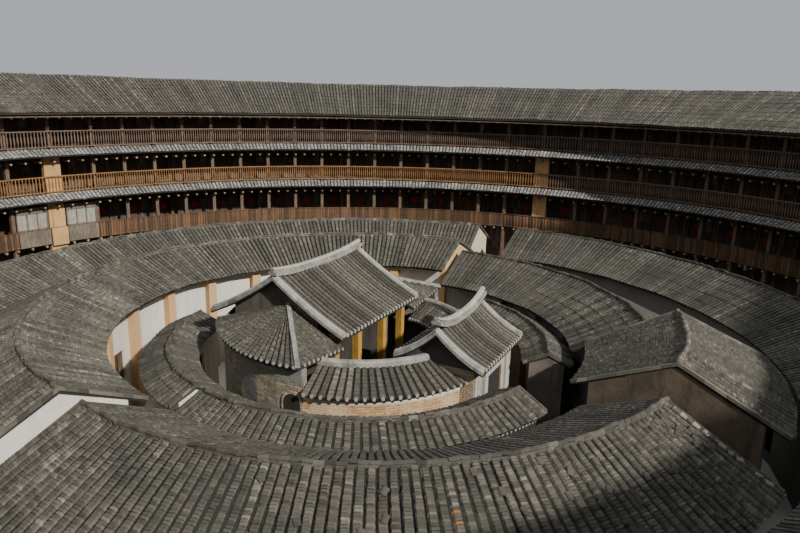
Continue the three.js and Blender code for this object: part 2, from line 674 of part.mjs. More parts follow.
// The two curved wings beside the small court, each from the main hall's corner to the gate hall's side
function addWings() {
  const side = GATE_HALL.halfLength - GABLE_INSET + GAP;
  const reach = 2 * WING_ROOF.outer[0];
  [['near', -1], ['far', 1]].forEach(([name, sign]) => {
    const across = [sign * side, sign * reach].sort((a, b) => a - b);
    const ends = [WING_TURN.front, WING_TURN.back].map((turn) => HALL_AXIS - sign * turn);
    const place = wedge(Math.min(...ends), Math.max(...ends), HALL_CENTRE).intersect(
      hallBox([-reach, across[0], 0], [reach, across[1], CLEAR_HEIGHT]),
    );
    const roof = gableRing(WING_ROOF, INNER_SIDES, HALL_CENTRE);
    addPiece(`wing_roof_${name}`, roof.intersect(place), COLOURS.tile);
    const wall = ring([
      [HALL_WALL.inside, 0], [HALL_WALL.outside, 0],
      [HALL_WALL.outside, underside(WING_ROOF, HALL_WALL.outside) - GAP],
      [HALL_WALL.inside, underside(WING_ROOF, HALL_WALL.inside) - GAP],
    ], INNER_SIDES, HALL_CENTRE);
    addPiece(`wing_wall_${name}`, wall.intersect(place), COLOURS.cream);
  });
}

addOuterWall();
addFloors();
addRoomFronts();
addGalleryPosts();
addGalleryFronts();
addMainRoof();
RINGS.forEach(addInnerRing);
addMainHall();
addGateHall();
addAisleRoofs();
addHallRound();
addWings();

export default house;
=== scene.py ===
"""A round earth house with timber galleries, two inner rings, a corridor ring and a small hall in the middle.

Sizes in this file are metres of the full-size house. Every finished piece is brought to the model's scale at
the end of its making. Azimuths are degrees clockwise from +Y, seen from above.
"""

import math
from typing import NamedTuple

import bpy
import numpy as np
from bpy.props import FloatProperty, FloatVectorProperty, IntProperty, PointerProperty
from mathutils import Matrix, Vector


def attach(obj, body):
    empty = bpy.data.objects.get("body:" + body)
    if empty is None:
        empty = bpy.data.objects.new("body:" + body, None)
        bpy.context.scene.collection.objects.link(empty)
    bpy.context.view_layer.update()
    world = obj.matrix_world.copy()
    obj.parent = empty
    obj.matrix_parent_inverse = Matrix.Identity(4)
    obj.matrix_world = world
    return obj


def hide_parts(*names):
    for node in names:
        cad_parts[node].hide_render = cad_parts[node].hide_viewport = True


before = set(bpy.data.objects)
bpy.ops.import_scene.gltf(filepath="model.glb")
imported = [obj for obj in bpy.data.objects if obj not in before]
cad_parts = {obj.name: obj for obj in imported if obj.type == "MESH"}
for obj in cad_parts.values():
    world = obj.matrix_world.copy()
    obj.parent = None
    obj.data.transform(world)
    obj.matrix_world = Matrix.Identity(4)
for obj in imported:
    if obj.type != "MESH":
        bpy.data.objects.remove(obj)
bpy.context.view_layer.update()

bl_info = {
    "name": "Round Earth House",
    "version": (1, 0, 0),
    "blender": (4, 5, 0),
    "location": "View3D > Sidebar > Round House",
    "description": "Builds the tiled roofs, galleries, walls and hall of a round earth house",
    "category": "Object",
}

# Model metres for one metre of the full-size house
SCALE = 0.5
FULL_TURN = 360.0

# Bay lines of the outer ring
STATIONS = (-52.4, 27.0, 122.6, 214.0)
BAYS_AFTER_STATION = (17, 19, 19, 19)
END_BAY_ANGLE = 5.9
GATES = {17: (1.8, 2.5), 35: (2.4, 3.1), 54: (1.8, 2.5)}
DOOR_EVERY = 3

# Outer ring: floors, and radii of its walls. Its walls have flat sides.
FLOORS = (0.0, 4.05, 7.0, 9.57)
SIDE_ANGLE = 9.0
WALL_OUTSIDE, FRONT, RAIL = 31.2, 26.0, 24.04
WINDOW_RADIUS, GATE_RADIUS = 31.05, 31.3
WINDOW_SILL, GATE_SILL = 0.95, 0.12
MAIN_RIDGE, MAIN_RIDGE_HEIGHT = 28.0, 13.85
MAIN_EAVES = ((23.0, 11.68), (33.4, 11.5))
MAIN_THICKNESS = 0.26
# How far the main roof's boards keep inside the node that they stand for
MAIN_INSET = 0.06
# How far boards and tile feet lie below the line of a roof's outer face
SUNK = 0.06

# Galleries: edge boards, and the skirts of tiles under the two upper floors
EDGE = (24.44, 24.5)
PENT_EAVE, PENT_MIDDLE, PENT_TOP, PENT_BACK = 23.37, 23.7, 23.98, 24.1
PARAPET_HEIGHT, PARAPET_PLANKS = 0.95, 11
PANEL_WIDTH = 2.0
SHUTTER_WIDTH, PANE_PITCH = 1.8, 0.58
RAFTER_END = 24.1


class RingPart(NamedTuple):
    """Part of an inner ring, its centre on the X axis. Azimuths and the angle of a bay are degrees."""
    centre: float
    first: float
    last: float
    ridge: float
    height: float
    eave_in: float
    eave_out: float
    wall_in: float
    wall_out: float
    bay: float


RING_PARTS = {
    "first_ring_left": RingPart(-0.25, -145, 21.5, 17.1, 5.4, 14.9, 19.9, 15.4, 19.3, 26),
    "first_ring_right": RingPart(-0.25, 29.5, 114, 17.1, 5.4, 14.5, 19.9, 15.0, 19.3, 26),
    "first_ring_near": RingPart(-0.25, 125, 207, 17.3, 5.3, 15.1, 19.9, 15.6, 19.3, 26),
    "second_ring_left": RingPart(-1.0, -141, 27, 11.25, 5.67, 8.85, 13.6, 9.45, 13.0, 15),
    "second_ring_right": RingPart(-1.0, 29, 100.4, 10.8, 5.2, 8.25, 13.2, 8.95, 12.7, 15),
    "entry_block": RingPart(-1.0, 100.4, 126, 11.75, 5.82, 8.7, 14.8, 9.3, 14.2, 13),
    "second_ring_near": RingPart(-0.25, 133.6, 221.8, 11.23, 5.1, 8.75, 14.4, 9.3, 13.8, 15),
    "corridor_left": RingPart(-0.7, -135, -72, 7.15, 4.1, 6.15, 8.05, 6.45, 7.75, 31),
    "corridor_near": RingPart(-0.7, 133, 222, 7.1, 4.05, 6.1, 8.1, 6.4, 7.8, 29),
    "corridor_right": RingPart(-0.7, 46, 105, 7.1, 4.05, 6.2, 7.95, 6.45, 7.7, 29),
}
RING_RISE = 0.45
RING_THICKNESS = 0.2
THROUGH_PARTS = ("entry_block", "corridor_left", "corridor_near", "corridor_right")
FINEST_PARTS = ("entry_block", "second_ring_near", "corridor_near")
FINE_PARTS = ("first_ring_left", "second_ring_left")

# Hall in the middle. In its own axes, +X runs along to the main gate and +Y across.
HALL_CENTRE = -0.7
HALL_AXIS = 119.0
HALL_SIDES = {"near": -1, "far": 1}
GATE_HALL_FRONT = 5.35
WING_CUT = 1.83
ARCH_PLACE, ARCH_TURN = (0, 5.15, 2.45), 84.5

# Light and camera, worked out from the photograph. Lengths here are model metres.
SUN_AZIMUTH, SUN_SLOPE, SUN_ANGLE = 139.0, 0.655, 2.2
CAMERA_PLACE = (0, -12.2, 6.475)
CAMERA_PITCH, CAMERA_YAW, CAMERA_ROLL = 14.35, 1.66, 1.40
CAMERA_LENS, CAMERA_SENSOR = 29.94, 36


# Places

def radians(angle):
    """Degrees to radians."""
    return math.radians(angle)


def polar(radius, azimuth, height=0.0, centre=0.0):
    """Point at a radius and an azimuth round a centre on the X axis."""
    return Vector((centre + radius * math.sin(radians(azimuth)), radius * math.cos(radians(azimuth)), height))


def turned(azimuth, centre=0.0, stretch=1.0):
    """Matrix that carries a thing made at azimuth 0 to another azimuth, stretched across its radius."""
    turn = Matrix.Rotation(-radians(azimuth), 4, "Z")
    return Matrix.Translation((centre, 0, 0)) @ turn @ Matrix.Diagonal((stretch, 1, 1, 1))


def along_slope(start, end):
    """Matrix that lays a thing made along +Y from start towards end, with its top up."""
    start, end = Vector(start), Vector(end)
    forward = (end - start).normalized()
    side = forward.cross(Vector((0, 0, 1))).normalized()
    turn = Matrix((side, forward, side.cross(forward))).transposed().to_4x4()
    return Matrix.Translation(start) @ turn


def bay_lines():
    """Azimuths of all bay lines, in order, and the first one again a turn later."""
    lines = []
    for index, start in enumerate(STATIONS):
        end = (STATIONS + (STATIONS[0] + FULL_TURN,))[index + 1]
        count = BAYS_AFTER_STATION[index]
        step = (end - start - 2 * END_BAY_ANGLE) / (count - 2)
        lines.append(start)
        lines.extend(start + END_BAY_ANGLE + bay * step for bay in range(count - 1))
    return lines + [STATIONS[0] + FULL_TURN]


LINES = bay_lines()
BAYS = list(zip(LINES, LINES[1:]))
CENTRES = [(first + last) / 2 for first, last in BAYS]


def side_radius(radius, azimuth):
    """Radius of a flat-sided ring at an azimuth, from the radius of its corners."""
    off = azimuth % SIDE_ANGLE - SIDE_ANGLE / 2
    return radius * math.cos(radians(SIDE_ANGLE / 2)) / math.cos(radians(off))


def chord(bay, radius):
    """Width of a bay at a radius."""
    return 2 * radius * math.sin(radians(BAYS[bay][1] - BAYS[bay][0]) / 2)


def hall_place():
    """Matrix from the hall's own axes to the house."""
    return Matrix.Translation((HALL_CENTRE, 0, 0)) @ Matrix.Rotation(radians(90 - HALL_AXIS), 4, "Z")


# Shapes

def deselect():
    """Nothing selected, in object mode."""
    if bpy.context.mode != "OBJECT":
        bpy.ops.object.mode_set(mode="OBJECT")
    bpy.ops.object.select_all(action="DESELECT")


def select(*pieces):
    """Only these pieces selected, the first one active."""
    deselect()
    for piece in pieces:
        piece.select_set(True)
    bpy.context.view_layer.objects.active = pieces[0]


def apply_place(piece):
    """Puts a piece's place, turn and size into its mesh."""
    select(piece)
    bpy.ops.object.transform_apply(location=True, rotation=True, scale=True)
    return piece


def placed(piece, matrix):
    """Carries a piece by a matrix and puts its place into its mesh."""
    piece.matrix_world = matrix @ piece.matrix_world
    return apply_place(piece)


def to_hall(piece):
    """Takes a piece made in the hall's own axes to its place in the house."""
    return placed(piece, hall_place())


def apply_modifiers(piece):
    """Applies all modifiers of a piece."""
    select(piece)
    for modifier in list(piece.modifiers):
        bpy.ops.object.modifier_apply(modifier=modifier.name)
    return piece


def edit(piece, mode="VERT"):
    """Edit mode on a piece with nothing selected in its mesh, and back."""
    select(piece)
    bpy.ops.object.mode_set(mode="EDIT")
    bpy.ops.mesh.select_mode(type=mode)
    bpy.ops.mesh.select_all(action="DESELECT")
    bpy.ops.object.mode_set(mode="OBJECT")


def pick_edges(piece, test):
    """Selects the edges of a mesh whose two ends both pass a test, and goes to edit mode."""
    edit(piece, "EDGE")
    points = piece.data.vertices
    for edge in piece.data.edges:
        edge.select = all(test(points[index].co) for index in edge.vertices)
    bpy.ops.object.mode_set(mode="EDIT")


def pick_all(piece):
    """Selects a whole mesh in edit mode."""
    edit(piece)
    bpy.ops.object.mode_set(mode="EDIT")
    bpy.ops.mesh.select_all(action="SELECT")


def joined(pieces, name):
    """One piece made of several."""
    select(*pieces)
    if len(pieces) > 1:
        bpy.ops.object.join()
    piece = bpy.context.view_layer.objects.active
    piece.name = piece.data.name = name
    return piece


def block(size, place=(0, 0, 0), bevel=0.0):
    """Sawn timber or cut stone: a block with its edges bevelled."""
    deselect()
    bpy.ops.mesh.primitive_cube_add(size=1, location=place)
    piece = bpy.context.object
    piece.scale = size
    bpy.ops.object.transform_apply(location=False, rotation=False, scale=True)
    if bevel:
        pick_all(piece)
        bpy.ops.mesh.bevel(offset=bevel, segments=1, affect="EDGES")
        bpy.ops.object.mode_set(mode="OBJECT")
    return apply_place(piece)


def outward(piece, merge=True):
    """Merges doubled points and turns all faces outwards."""
    pick_all(piece)
    if merge:
        bpy.ops.mesh.remove_doubles(threshold=1e-4)
    bpy.ops.mesh.normals_make_consistent(inside=False)
    bpy.ops.object.mode_set(mode="OBJECT")
    return piece


def outline_face(points, fill="NGON"):
    """Flat face whose outline runs through points in space."""
    deselect()
    bpy.ops.mesh.primitive_circle_add(vertices=len(points), radius=1, fill_type=fill)
    piece = bpy.context.object
    for vertex, point in zip(piece.data.vertices, points):
        vertex.co = point
    return piece


def swept(outline, path):
    """Closed bar: an outline in space, set at the first place of a path and extruded from place to place."""
    path = [Vector(place) for place in path]
    piece = outline_face([Vector(point) + path[0] for point in outline])
    pick_all(piece)
    for start, end in zip(path, path[1:]):
        bpy.ops.mesh.extrude_region_move(TRANSFORM_OT_translate={"value": end - start})
    bpy.ops.object.mode_set(mode="OBJECT")
    return outward(piece, merge=False)


def spun(outline, first, last, centre=0.0, side=4.0):
    """Solid of an outline of (radius, height) points, spun clockwise from one azimuth to another."""
    full = last - first >= FULL_TURN
    points = [polar(radius, first, height) for radius, height in outline]
    piece = outline_face(points, "NOTHING" if full else "NGON")
    pick_all(piece)
    steps = max(1, round((last - first) / side))
    bpy.ops.mesh.spin(steps=steps, angle=radians(last - first), center=(0, 0, 0), axis=(0, 0, 1))
    bpy.ops.object.mode_set(mode="OBJECT")
    return placed(outward(piece), Matrix.Translation((centre, 0, 0)))


def hoop(radii, levels):
    """Closed ring of boards between two radii and two heights."""
    (inner, outer), (low, high) = radii, levels
    return spun([(inner, low), (outer, low), (outer, high), (inner, high)], 0, FULL_TURN)


def copies(item, places):
    """Copies of an item at the given matrices, joined into one piece. The item itself is used up."""
    made = []
    for place in places:
        twin = item.copy()
        twin.data = item.data.copy()
        bpy.context.scene.collection.objects.link(twin)
        twin.matrix_world = place @ item.matrix_world
        made.append(twin)
    bpy.data.objects.remove(item)
    for twin in made:
        twin.data.transform(twin.matrix_world)
        twin.matrix_world = Matrix.Identity(4)
    return joined(made, "copies")


def row(piece, count, offset):
    """Repeats a piece in a straight row and merges the seams."""
    array = piece.modifiers.new("row", "ARRAY")
    array.count = count
    array.use_relative_offset = False
    array.use_constant_offset = True
    array.constant_offset_displace = offset
    array.use_merge_vertices = True
    array.merge_threshold = 1e-4
    return apply_modifiers(piece)


def round_row(piece, count, step):
    """Repeats a piece round the Z axis, clockwise by a step angle."""
    deselect()
    bpy.ops.object.empty_add(location=(0, 0, 0), rotation=(0, 0, -radians(step)))
    guide = bpy.context.object
    array = piece.modifiers.new("round", "ARRAY")
    array.count = count
    array.use_relative_offset = False
    array.use_object_offset = True
    array.offset_object = guide
    apply_modifiers(piece)
    bpy.data.objects.remove(guide)
    return piece


def points_of(piece):
    """Places of all vertices, as an array with a row for each."""
    places = np.empty(len(piece.data.vertices) * 3)
    piece.data.vertices.foreach_get("co", places)
    return places.reshape(-1, 3)


def move_points(piece, places):
    """Puts all vertices at new places."""
    piece.data.vertices.foreach_set("co", places.ravel())
    piece.data.update()
    return piece


def uneven(piece, amount, seed):
    """Small seeded shifts of every vertex, for hand-laid tiles."""
    places = points_of(piece)
    places += np.random.default_rng(seed).normal(0, amount, places.shape)
    return move_points(piece, places)


def settled(piece, amount=0.035):
    """Lets a roof sag and rise a little from place to place, in the same way for all that lies on it."""
    places = points_of(piece)
    x, y = places[:, 0].copy(), places[:, 1].copy()
    waves = np.sin(0.83 * x + 0.5 * y + 1) + np.sin(1.9 * y - 0.7 * x) + 0.7 * np.sin(2.6 * x + 1.7 * y + 2)
    places[:, 0] += 0.012 * np.sin(2.1 * y + 1.3 * x) + 0.004 * np.sin(9.1 * x + 7.3 * y)
    places[:, 1] += 0.012 * np.sin(2.3 * x + 0.7 * y) + 0.004 * np.sin(8.3 * x - 9.7 * y)
    places[:, 2] += amount * (waves / 2.7 - 0.6)
    return move_points(piece, places)


def finished(piece, name, finish, replaced=(), under=None, smooth=True):
    """Brings a piece to the model's scale, gives it its finish and ties it to the frame."""
    piece.name = piece.data.name = name
    piece.scale = (SCALE, SCALE, SCALE)
    apply_place(piece)
    piece.data.materials.clear()
    piece.data.materials.append(finish)
    if under:
        piece.data.materials.append(under)
        for face in piece.data.polygons:
            face.material_index = 1 if face.normal.z < -0.2 else 0
    if smooth:
        select(piece)
        bpy.ops.object.shade_smooth_by_angle(angle=radians(40))
    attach(piece, "root")
    if replaced:
        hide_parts(*replaced)
    return piece


# Tiles

def tile_column(start, end, width, height, course):
    """Column of cover tiles up a slope. Each course stands on the one below and rises to its lower edge."""
    run = Vector(end) - Vector(start)
    count = max(1, round(run.length / course))
    length = run.length / count
    lip = min(0.02, length * 0.14)
    deselect()
    bpy.ops.mesh.primitive_grid_add(x_subdivisions=3, y_subdivisions=1, size=1)
    piece = bpy.context.object
    for vertex in piece.data.vertices:
        outer, front = abs(vertex.co.x) > 0.4, vertex.co.y < 0
        vertex.co.x = math.copysign(width * (0.5 if outer else 0.3), vertex.co.x)
        vertex.co.y = 0 if front else length
        vertex.co.z = (-lip if outer else height) + (lip if front else 0)
    pick_edges(piece, lambda place: place.y < length / 2)
    bpy.ops.mesh.extrude_edges_move(TRANSFORM_OT_translate={"value": (0, 0, -lip)})
    bpy.ops.object.mode_set(mode="OBJECT")
    row(piece, count, (0, length, 0))
    pick_all(piece)
    bpy.ops.mesh.region_to_loop()
    bpy.ops.mesh.edge_face_add()
    bpy.ops.object.mode_set(mode="OBJECT")
    return placed(outward(piece, merge=False), along_slope(start, end))


def round_tiles(first, last, eave, ridge, columns, course, seed, centre=0.0, height=0.045):
    """Tile columns of one slope of a round roof, narrower towards the middle of the house."""
    step = (last - first) / columns
    pitch = 2 * math.pi * ridge[0] * step / FULL_TURN
    column = tile_column((0, *eave), (0, *ridge), pitch * 0.9, height, course)
    for vertex in column.data.vertices:
        vertex.co.x *= vertex.co.y / ridge[0]
    placed(column, turned(first + step / 2))
    round_row(column, columns, step)
    return placed(uneven(column, 0.005, seed), Matrix.Translation((centre, 0, 0)))


def ridge_tile(width=0.15, height=0.07, length=0.27):
    """Half-round ridge tile, a little wider at one end, lying along X."""
    deselect()
    bpy.ops.mesh.primitive_cylinder_add(vertices=8, radius=0.5, depth=length, rotation=(0, math.pi / 2, 0))
    piece = bpy.context.object
    piece.scale = (2 * height, width, 1)
    apply_place(piece)
    pick_all(piece)
    bpy.ops.mesh.bisect(plane_co=(0, 0, 0), plane_no=(0, 0, 1), use_fill=True, clear_inner=True)
    bpy.ops.object.mode_set(mode="OBJECT")
    for vertex in piece.data.vertices:
        if vertex.co.x > 0:
            vertex.co.y *= 0.8
            vertex.co.z *= 0.8
    return outward(piece)


def ridge_step(first, last, radius):
    """Angle from one ridge tile to the next."""
    return (last - first) / round(2 * math.pi * radius * (last - first) / FULL_TURN / 0.25)


def round_ridge(first, last, radius, height, seed, centre=0.0):
    """Row of hand-laid ridge tiles on a mortar bed."""
    step = ridge_step(first, last, radius)
    generator = np.random.default_rng(seed)
    places = []
    for index in range(round((last - first) / step)):
        out, up, skew, tilt = generator.normal(0, (0.015, 0.012, 0.1, 0.06))
        shift = Matrix.Translation((0, radius + out, height + 0.035 + up))
        turn = Matrix.Rotation(skew, 4, "Z") @ Matrix.Rotation(tilt, 4, "Y")
        places.append(turned(first + (index + 0.5) * step, centre) @ shift @ turn)
    low, high = height - 0.05, height + 0.02
    outline = [(radius - 0.09, low), (radius + 0.09, low), (radius + 0.06, high), (radius - 0.06, high)]
    bed = spun(outline, first, last, centre, 3.0)
    return joined([copies(ridge_tile(), places), bed], "ridge")


def slope_line(edge, ridge):
    """Feet and tops of the tile columns of a slope, from the eave and the ridge of its outer face."""
    return (edge[0], edge[1] - SUNK), (ridge[0], ridge[1] - SUNK)


def roof_slab(first, last, ridge, eaves, thickness, centre, side=4.0):
    """Boards and pan tiles of a round roof: two slopes, a little thinner at their eaves."""
    upper = [(radius, height - SUNK) for radius, height in (eaves[0], ridge, eaves[1])]
    lower = [(radius, height - share * thickness)
             for (radius, height), share in ((eaves[1], 0.75), (ridge, 1), (eaves[0], 0.75))]
    return spun(upper + lower, first, last, centre, side)


# Finishes

class Finish:
    """Short ways to add and link the nodes of one finish. All lengths here are model metres."""

    def __init__(self, name):
        self.material = bpy.data.materials.new(name)
        self.material.use_nodes = True
        self.tree = self.material.node_tree
        self.shader = self.tree.nodes["Principled BSDF"]
        self.place = self.add("ShaderNodeTexCoord").outputs["Object"]

    def add(self, kind, **settings):
        node = self.tree.nodes.new(kind)
        for name, value in settings.items():
            setattr(node, name, value)
        return node

    def put(self, socket, value):
        if isinstance(value, bpy.types.NodeSocket):
            self.tree.links.new(value, socket)
        else:
            socket.default_value = value

    def math(self, operation, first, second=0.0, third=0.0):
        node = self.add("ShaderNodeMath", operation=operation)
        for socket, value in zip(node.inputs, (first, second, third)):
            self.put(socket, value)
        return node.outputs[0]

    def stretch(self, vector, factors):
        node = self.add("ShaderNodeVectorMath", operation="MULTIPLY")
        self.put(node.inputs[0], vector)
        self.put(node.inputs[1], factors)
        return node.outputs[0]

    def parts(self, vector):
        node = self.add("ShaderNodeSeparateXYZ")
        self.put(node.inputs[0], vector)
        return node.outputs

    def point(self, x, y, z):
        node = self.add("ShaderNodeCombineXYZ")
        for socket, value in zip(node.inputs, (x, y, z)):
            self.put(socket, value)
        return node.outputs[0]

    def noise(self, vector, scale, detail=3.0, roughness=0.6):
        node = self.add("ShaderNodeTexNoise")
        self.put(node.inputs["Vector"], vector)
        for name, value in (("Scale", scale), ("Detail", detail), ("Roughness", roughness)):
            node.inputs[name].default_value = value
        return node.outputs["Fac"]

    def chance(self, x, y, z):
        """One random number for each cell of a pattern."""
        node = self.add("ShaderNodeTexWhiteNoise", noise_dimensions="3D")
        self.put(node.inputs["Vector"], self.point(x, y, z))
        return node.outputs["Value"]

    def ramp(self, factor, stops, steps=False):
        node = self.add("ShaderNodeValToRGB")
        ramp = node.color_ramp
        ramp.interpolation = "CONSTANT" if steps else "LINEAR"
        while len(ramp.elements) < len(stops):
            ramp.elements.new(0.5)
        for element, (position, colour) in zip(ramp.elements, stops):
            element.position = position
            element.color = (*colour, 1.0)
        self.put(node.inputs[0], factor)
        return node.outputs[0]

    def level(self, factor, low, high, at_low=0.0, at_high=1.0):
        node = self.add("ShaderNodeMapRange", clamp=True)
        for socket, value in zip(node.inputs, (factor, low, high, at_low, at_high)):
            self.put(socket, value)
        return node.outputs[0]

    def mix(self, factor, first, second, blend="MIX"):
        node = self.add("ShaderNodeMix", data_type="RGBA", blend_type=blend)
        self.put(node.inputs[0], factor)
        for socket, value in zip(node.inputs[6:8], (first, second)):
            self.put(socket, value if isinstance(value, bpy.types.NodeSocket) else (*value, 1.0))
        return node.outputs[2]

    def grain(self, tone, factor, low, high):
        """Darkens and lightens a tone with a fine pattern."""
        return self.mix(1.0, tone, self.ramp(factor, [(0.22, (low,) * 3), (0.78, (high,) * 3)]), "MULTIPLY")

    def ends(self, value):
        """How far a number is from the middle between two whole numbers, 0.5 at each whole number."""
        return self.math("ABSOLUTE", self.math("SUBTRACT", self.math("FRACT", value), 0.5))

    def around(self, centre=(0.0, 0.0)):
        """Azimuth in radians and radius of each point round a centre."""
        x, y, _ = self.parts(self.place)
        x, y = self.math("SUBTRACT", x, centre[0]), self.math("SUBTRACT", y, centre[1])
        squared = self.math("MULTIPLY_ADD", x, x, self.math("MULTIPLY", y, y))
        return self.math("ARCTAN2", x, y), self.math("SQRT", squared)

    def done(self, colour, height=None, depth=0.01, roughness=0.85):
        self.put(self.shader.inputs["Base Color"], colour)
        self.put(self.shader.inputs["Roughness"], roughness)
        if height is not None:
            bump = self.add("ShaderNodeBump")
            bump.inputs["Distance"].default_value = depth
            self.put(bump.inputs["Height"], height)
            self.put(self.shader.inputs["Normal"], bump.outputs[0])
        return self.material


def darker(colour, share=0.5):
    """A darker shade of a colour."""
    return tuple(value * share for value in colour)


TILE_COURSE = 0.085
TILE_TONES = [
    (0.0, (0.052, 0.047, 0.036)), (0.18, (0.076, 0.07, 0.054)), (0.4, (0.1, 0.092, 0.071)),
    (0.62, (0.13, 0.12, 0.092)), (0.78, (0.17, 0.157, 0.12)), (0.92, (0.255, 0.237, 0.19)),
    (0.985, (0.34, 0.15, 0.06)),
]
PALE_TONES = [
    (0.0, (0.13, 0.126, 0.115)), (0.25, (0.22, 0.213, 0.196)), (0.5, (0.32, 0.312, 0.29)),
    (0.75, (0.44, 0.43, 0.4)), (0.9, (0.58, 0.57, 0.54)),
]


def tile_finish(name, cells, light=1.0, seed=0.0, tones=TILE_TONES, share=0.35, groove_shade_start=0.29):
    """Weathered clay tiles: a tone for each tile, soot and lichen in patches, and painted shade in the
    grooves between columns and under the lip of each course. Share says how much of a tile's tone it has in
    common with its whole column."""
    finish = Finish(name)
    column, course, across = cells(finish)
    own = finish.math("MULTIPLY", finish.chance(column, finish.math("FLOOR", course), seed), 1 - share)
    pick = finish.math("MULTIPLY_ADD", finish.chance(column, 0.5, seed + 7), share, own)
    tone = finish.ramp(pick, tones, steps=True)
    patches = finish.noise(finish.place, 1.3, 4)
    fine = finish.noise(finish.place, 30, 4)
    tone = finish.mix(finish.level(patches, 0.42, 0.72, 0.0, 0.55), tone, tones[1][1])
    lichen = finish.level(finish.noise(finish.place, 7, 5), 0.58, 0.75, 0, 0.4)
    tone = finish.mix(lichen, tone, tones[4][1])
    tone = finish.grain(tone, fine, 0.75 * light, 1.2 * light)
    lap = finish.math("FRACT", course)
    # Painted shade: each course is darker just below the lip of the course above it
    tone = finish.mix(1.0, tone, finish.ramp(lap, [(0.0, (0.35,) * 3), (0.16, (1.0,) * 3)]), "MULTIPLY")
    # Painted shade: each column darkens towards its sides, in the grooves between columns
    if across:
        groove_shade = finish.ramp(finish.ends(across), [(groove_shade_start, (1.0,) * 3), (0.43, (0.12,) * 3)])
        tone = finish.mix(1.0, tone, groove_shade, "MULTIPLY")
    height = finish.math("MULTIPLY_ADD", lap, -0.8, finish.math("MULTIPLY", fine, 0.5))
    return finish.done(tone, height, 0.008, 0.8)


def round_cells(centre, first, step, ridge, course=TILE_COURSE):
    """Cells of a round roof: the column, the courses counted from the ridge, and the place across columns."""
    def cells(finish):
        angle, radius = finish.around((centre * SCALE, 0))
        turn = finish.math("FLOORED_MODULO", finish.math("SUBTRACT", angle, radians(first)), 2 * math.pi)
        run = finish.math("ABSOLUTE", finish.math("SUBTRACT", radius, ridge * SCALE))
        across = finish.math("DIVIDE", turn, radians(step))
        side = finish.math("GREATER_THAN", radius, ridge * SCALE)
        column = finish.math("MULTIPLY_ADD", side, 1000.0, finish.math("FLOOR", across))
        shift = finish.chance(column, 3.1, 9.0)
        return column, finish.math("ADD", finish.math("DIVIDE", run, course * SCALE * 0.91), shift), across
    return cells


def ridge_cells(centre, first, step, ridge):
    """Cells of a round ridge and of the bedded tiles at its ends: one for each tile."""
    def cells(finish):
        angle, radius = finish.around((centre * SCALE, 0))
        turn = finish.math("FLOORED_MODULO", finish.math("SUBTRACT", angle, radians(first)), 2 * math.pi)
        away = finish.math("DIVIDE", finish.math("SUBTRACT", radius, (ridge - 0.15) * SCALE), 0.3 * SCALE)
        column = finish.math("FLOOR", finish.math("DIVIDE", turn, radians(step)))
        column = finish.math("MULTIPLY_ADD", finish.math("FLOOR", away), 1000.0, column)
        return column, 0.5, None
    return cells


def fan_cells(centre, count):
    """Cells of a fan of columns round a peak, in model metres."""
    def cells(finish):
        angle, radius = finish.around(centre)
        column = finish.math("FLOOR", finish.math("MULTIPLY", angle, count / (2 * math.pi)))
        return column, finish.math("DIVIDE", radius, TILE_COURSE * SCALE), None
    return cells


def hall_cells(pitch, ridge=0.0, first=0.0):
    """Cells of a straight roof, in the hall's own axes: which column, and how many courses from the ridge."""
    def cells(finish):
        mapping = finish.add("ShaderNodeMapping", vector_type="TEXTURE")
        mapping.inputs["Location"].default_value = (HALL_CENTRE * SCALE, 0, 0)
        mapping.inputs["Rotation"].default_value = (0, 0, radians(90 - HALL_AXIS))
        finish.put(mapping.inputs["Vector"], finish.place)
        along, across, _ = finish.parts(mapping.outputs[0])
        run = finish.math("ABSOLUTE", finish.math("SUBTRACT", along, ridge * SCALE))
        across = finish.math("SUBTRACT", across, first * SCALE)
        across = finish.math("DIVIDE", across, pitch * SCALE)
        return finish.math("FLOOR", across), finish.math("DIVIDE", run, TILE_COURSE * SCALE * 0.87), across
    return cells


def plank_finish(name, dark, pale, plank=0.16, flat=False, wear=0.3):
    """Aged boards: standing planks round the house, or floor boards that follow it, with grain along them."""
    finish = Finish(name)
    angle, radius = finish.around()
    _, _, z = finish.parts(finish.place)
    arc = finish.math("MULTIPLY", angle, 24.5 * SCALE)
    run = finish.math("DIVIDE", radius if flat else arc, plank * SCALE)
    storey = finish.math("FLOOR", finish.math("DIVIDE", z, 1.3))
    chance = finish.chance(finish.math("FLOOR", run), storey, 3.0)
    fine, coarse = (radius, arc) if flat else (arc, z)
    fine, coarse = finish.math("MULTIPLY", fine, 60.0), finish.math("MULTIPLY", coarse, 3.0)
    grain = finish.noise(finish.point(fine, coarse, chance), 1.0, 4)
    tone = finish.mix(finish.level(grain, 0.3, 0.7), dark, pale)
    tone = finish.grain(tone, chance, 0.6, 1.35)
    dirt = finish.level(finish.noise(finish.place, 2.5, 4), 0.45, 0.75, 0, wear)
    tone = finish.mix(dirt, tone, (0.03, 0.025, 0.02))
    seam = finish.level(finish.ends(run), 0.44, 0.49, 1, 0)
    tone = finish.mix(1.0, tone, finish.ramp(seam, [(0, (0.25,) * 3), (1, (1.0,) * 3)]), "MULTIPLY")
    return finish.done(tone, finish.math("MULTIPLY_ADD", grain, 0.35, seam), 0.008, 0.75)


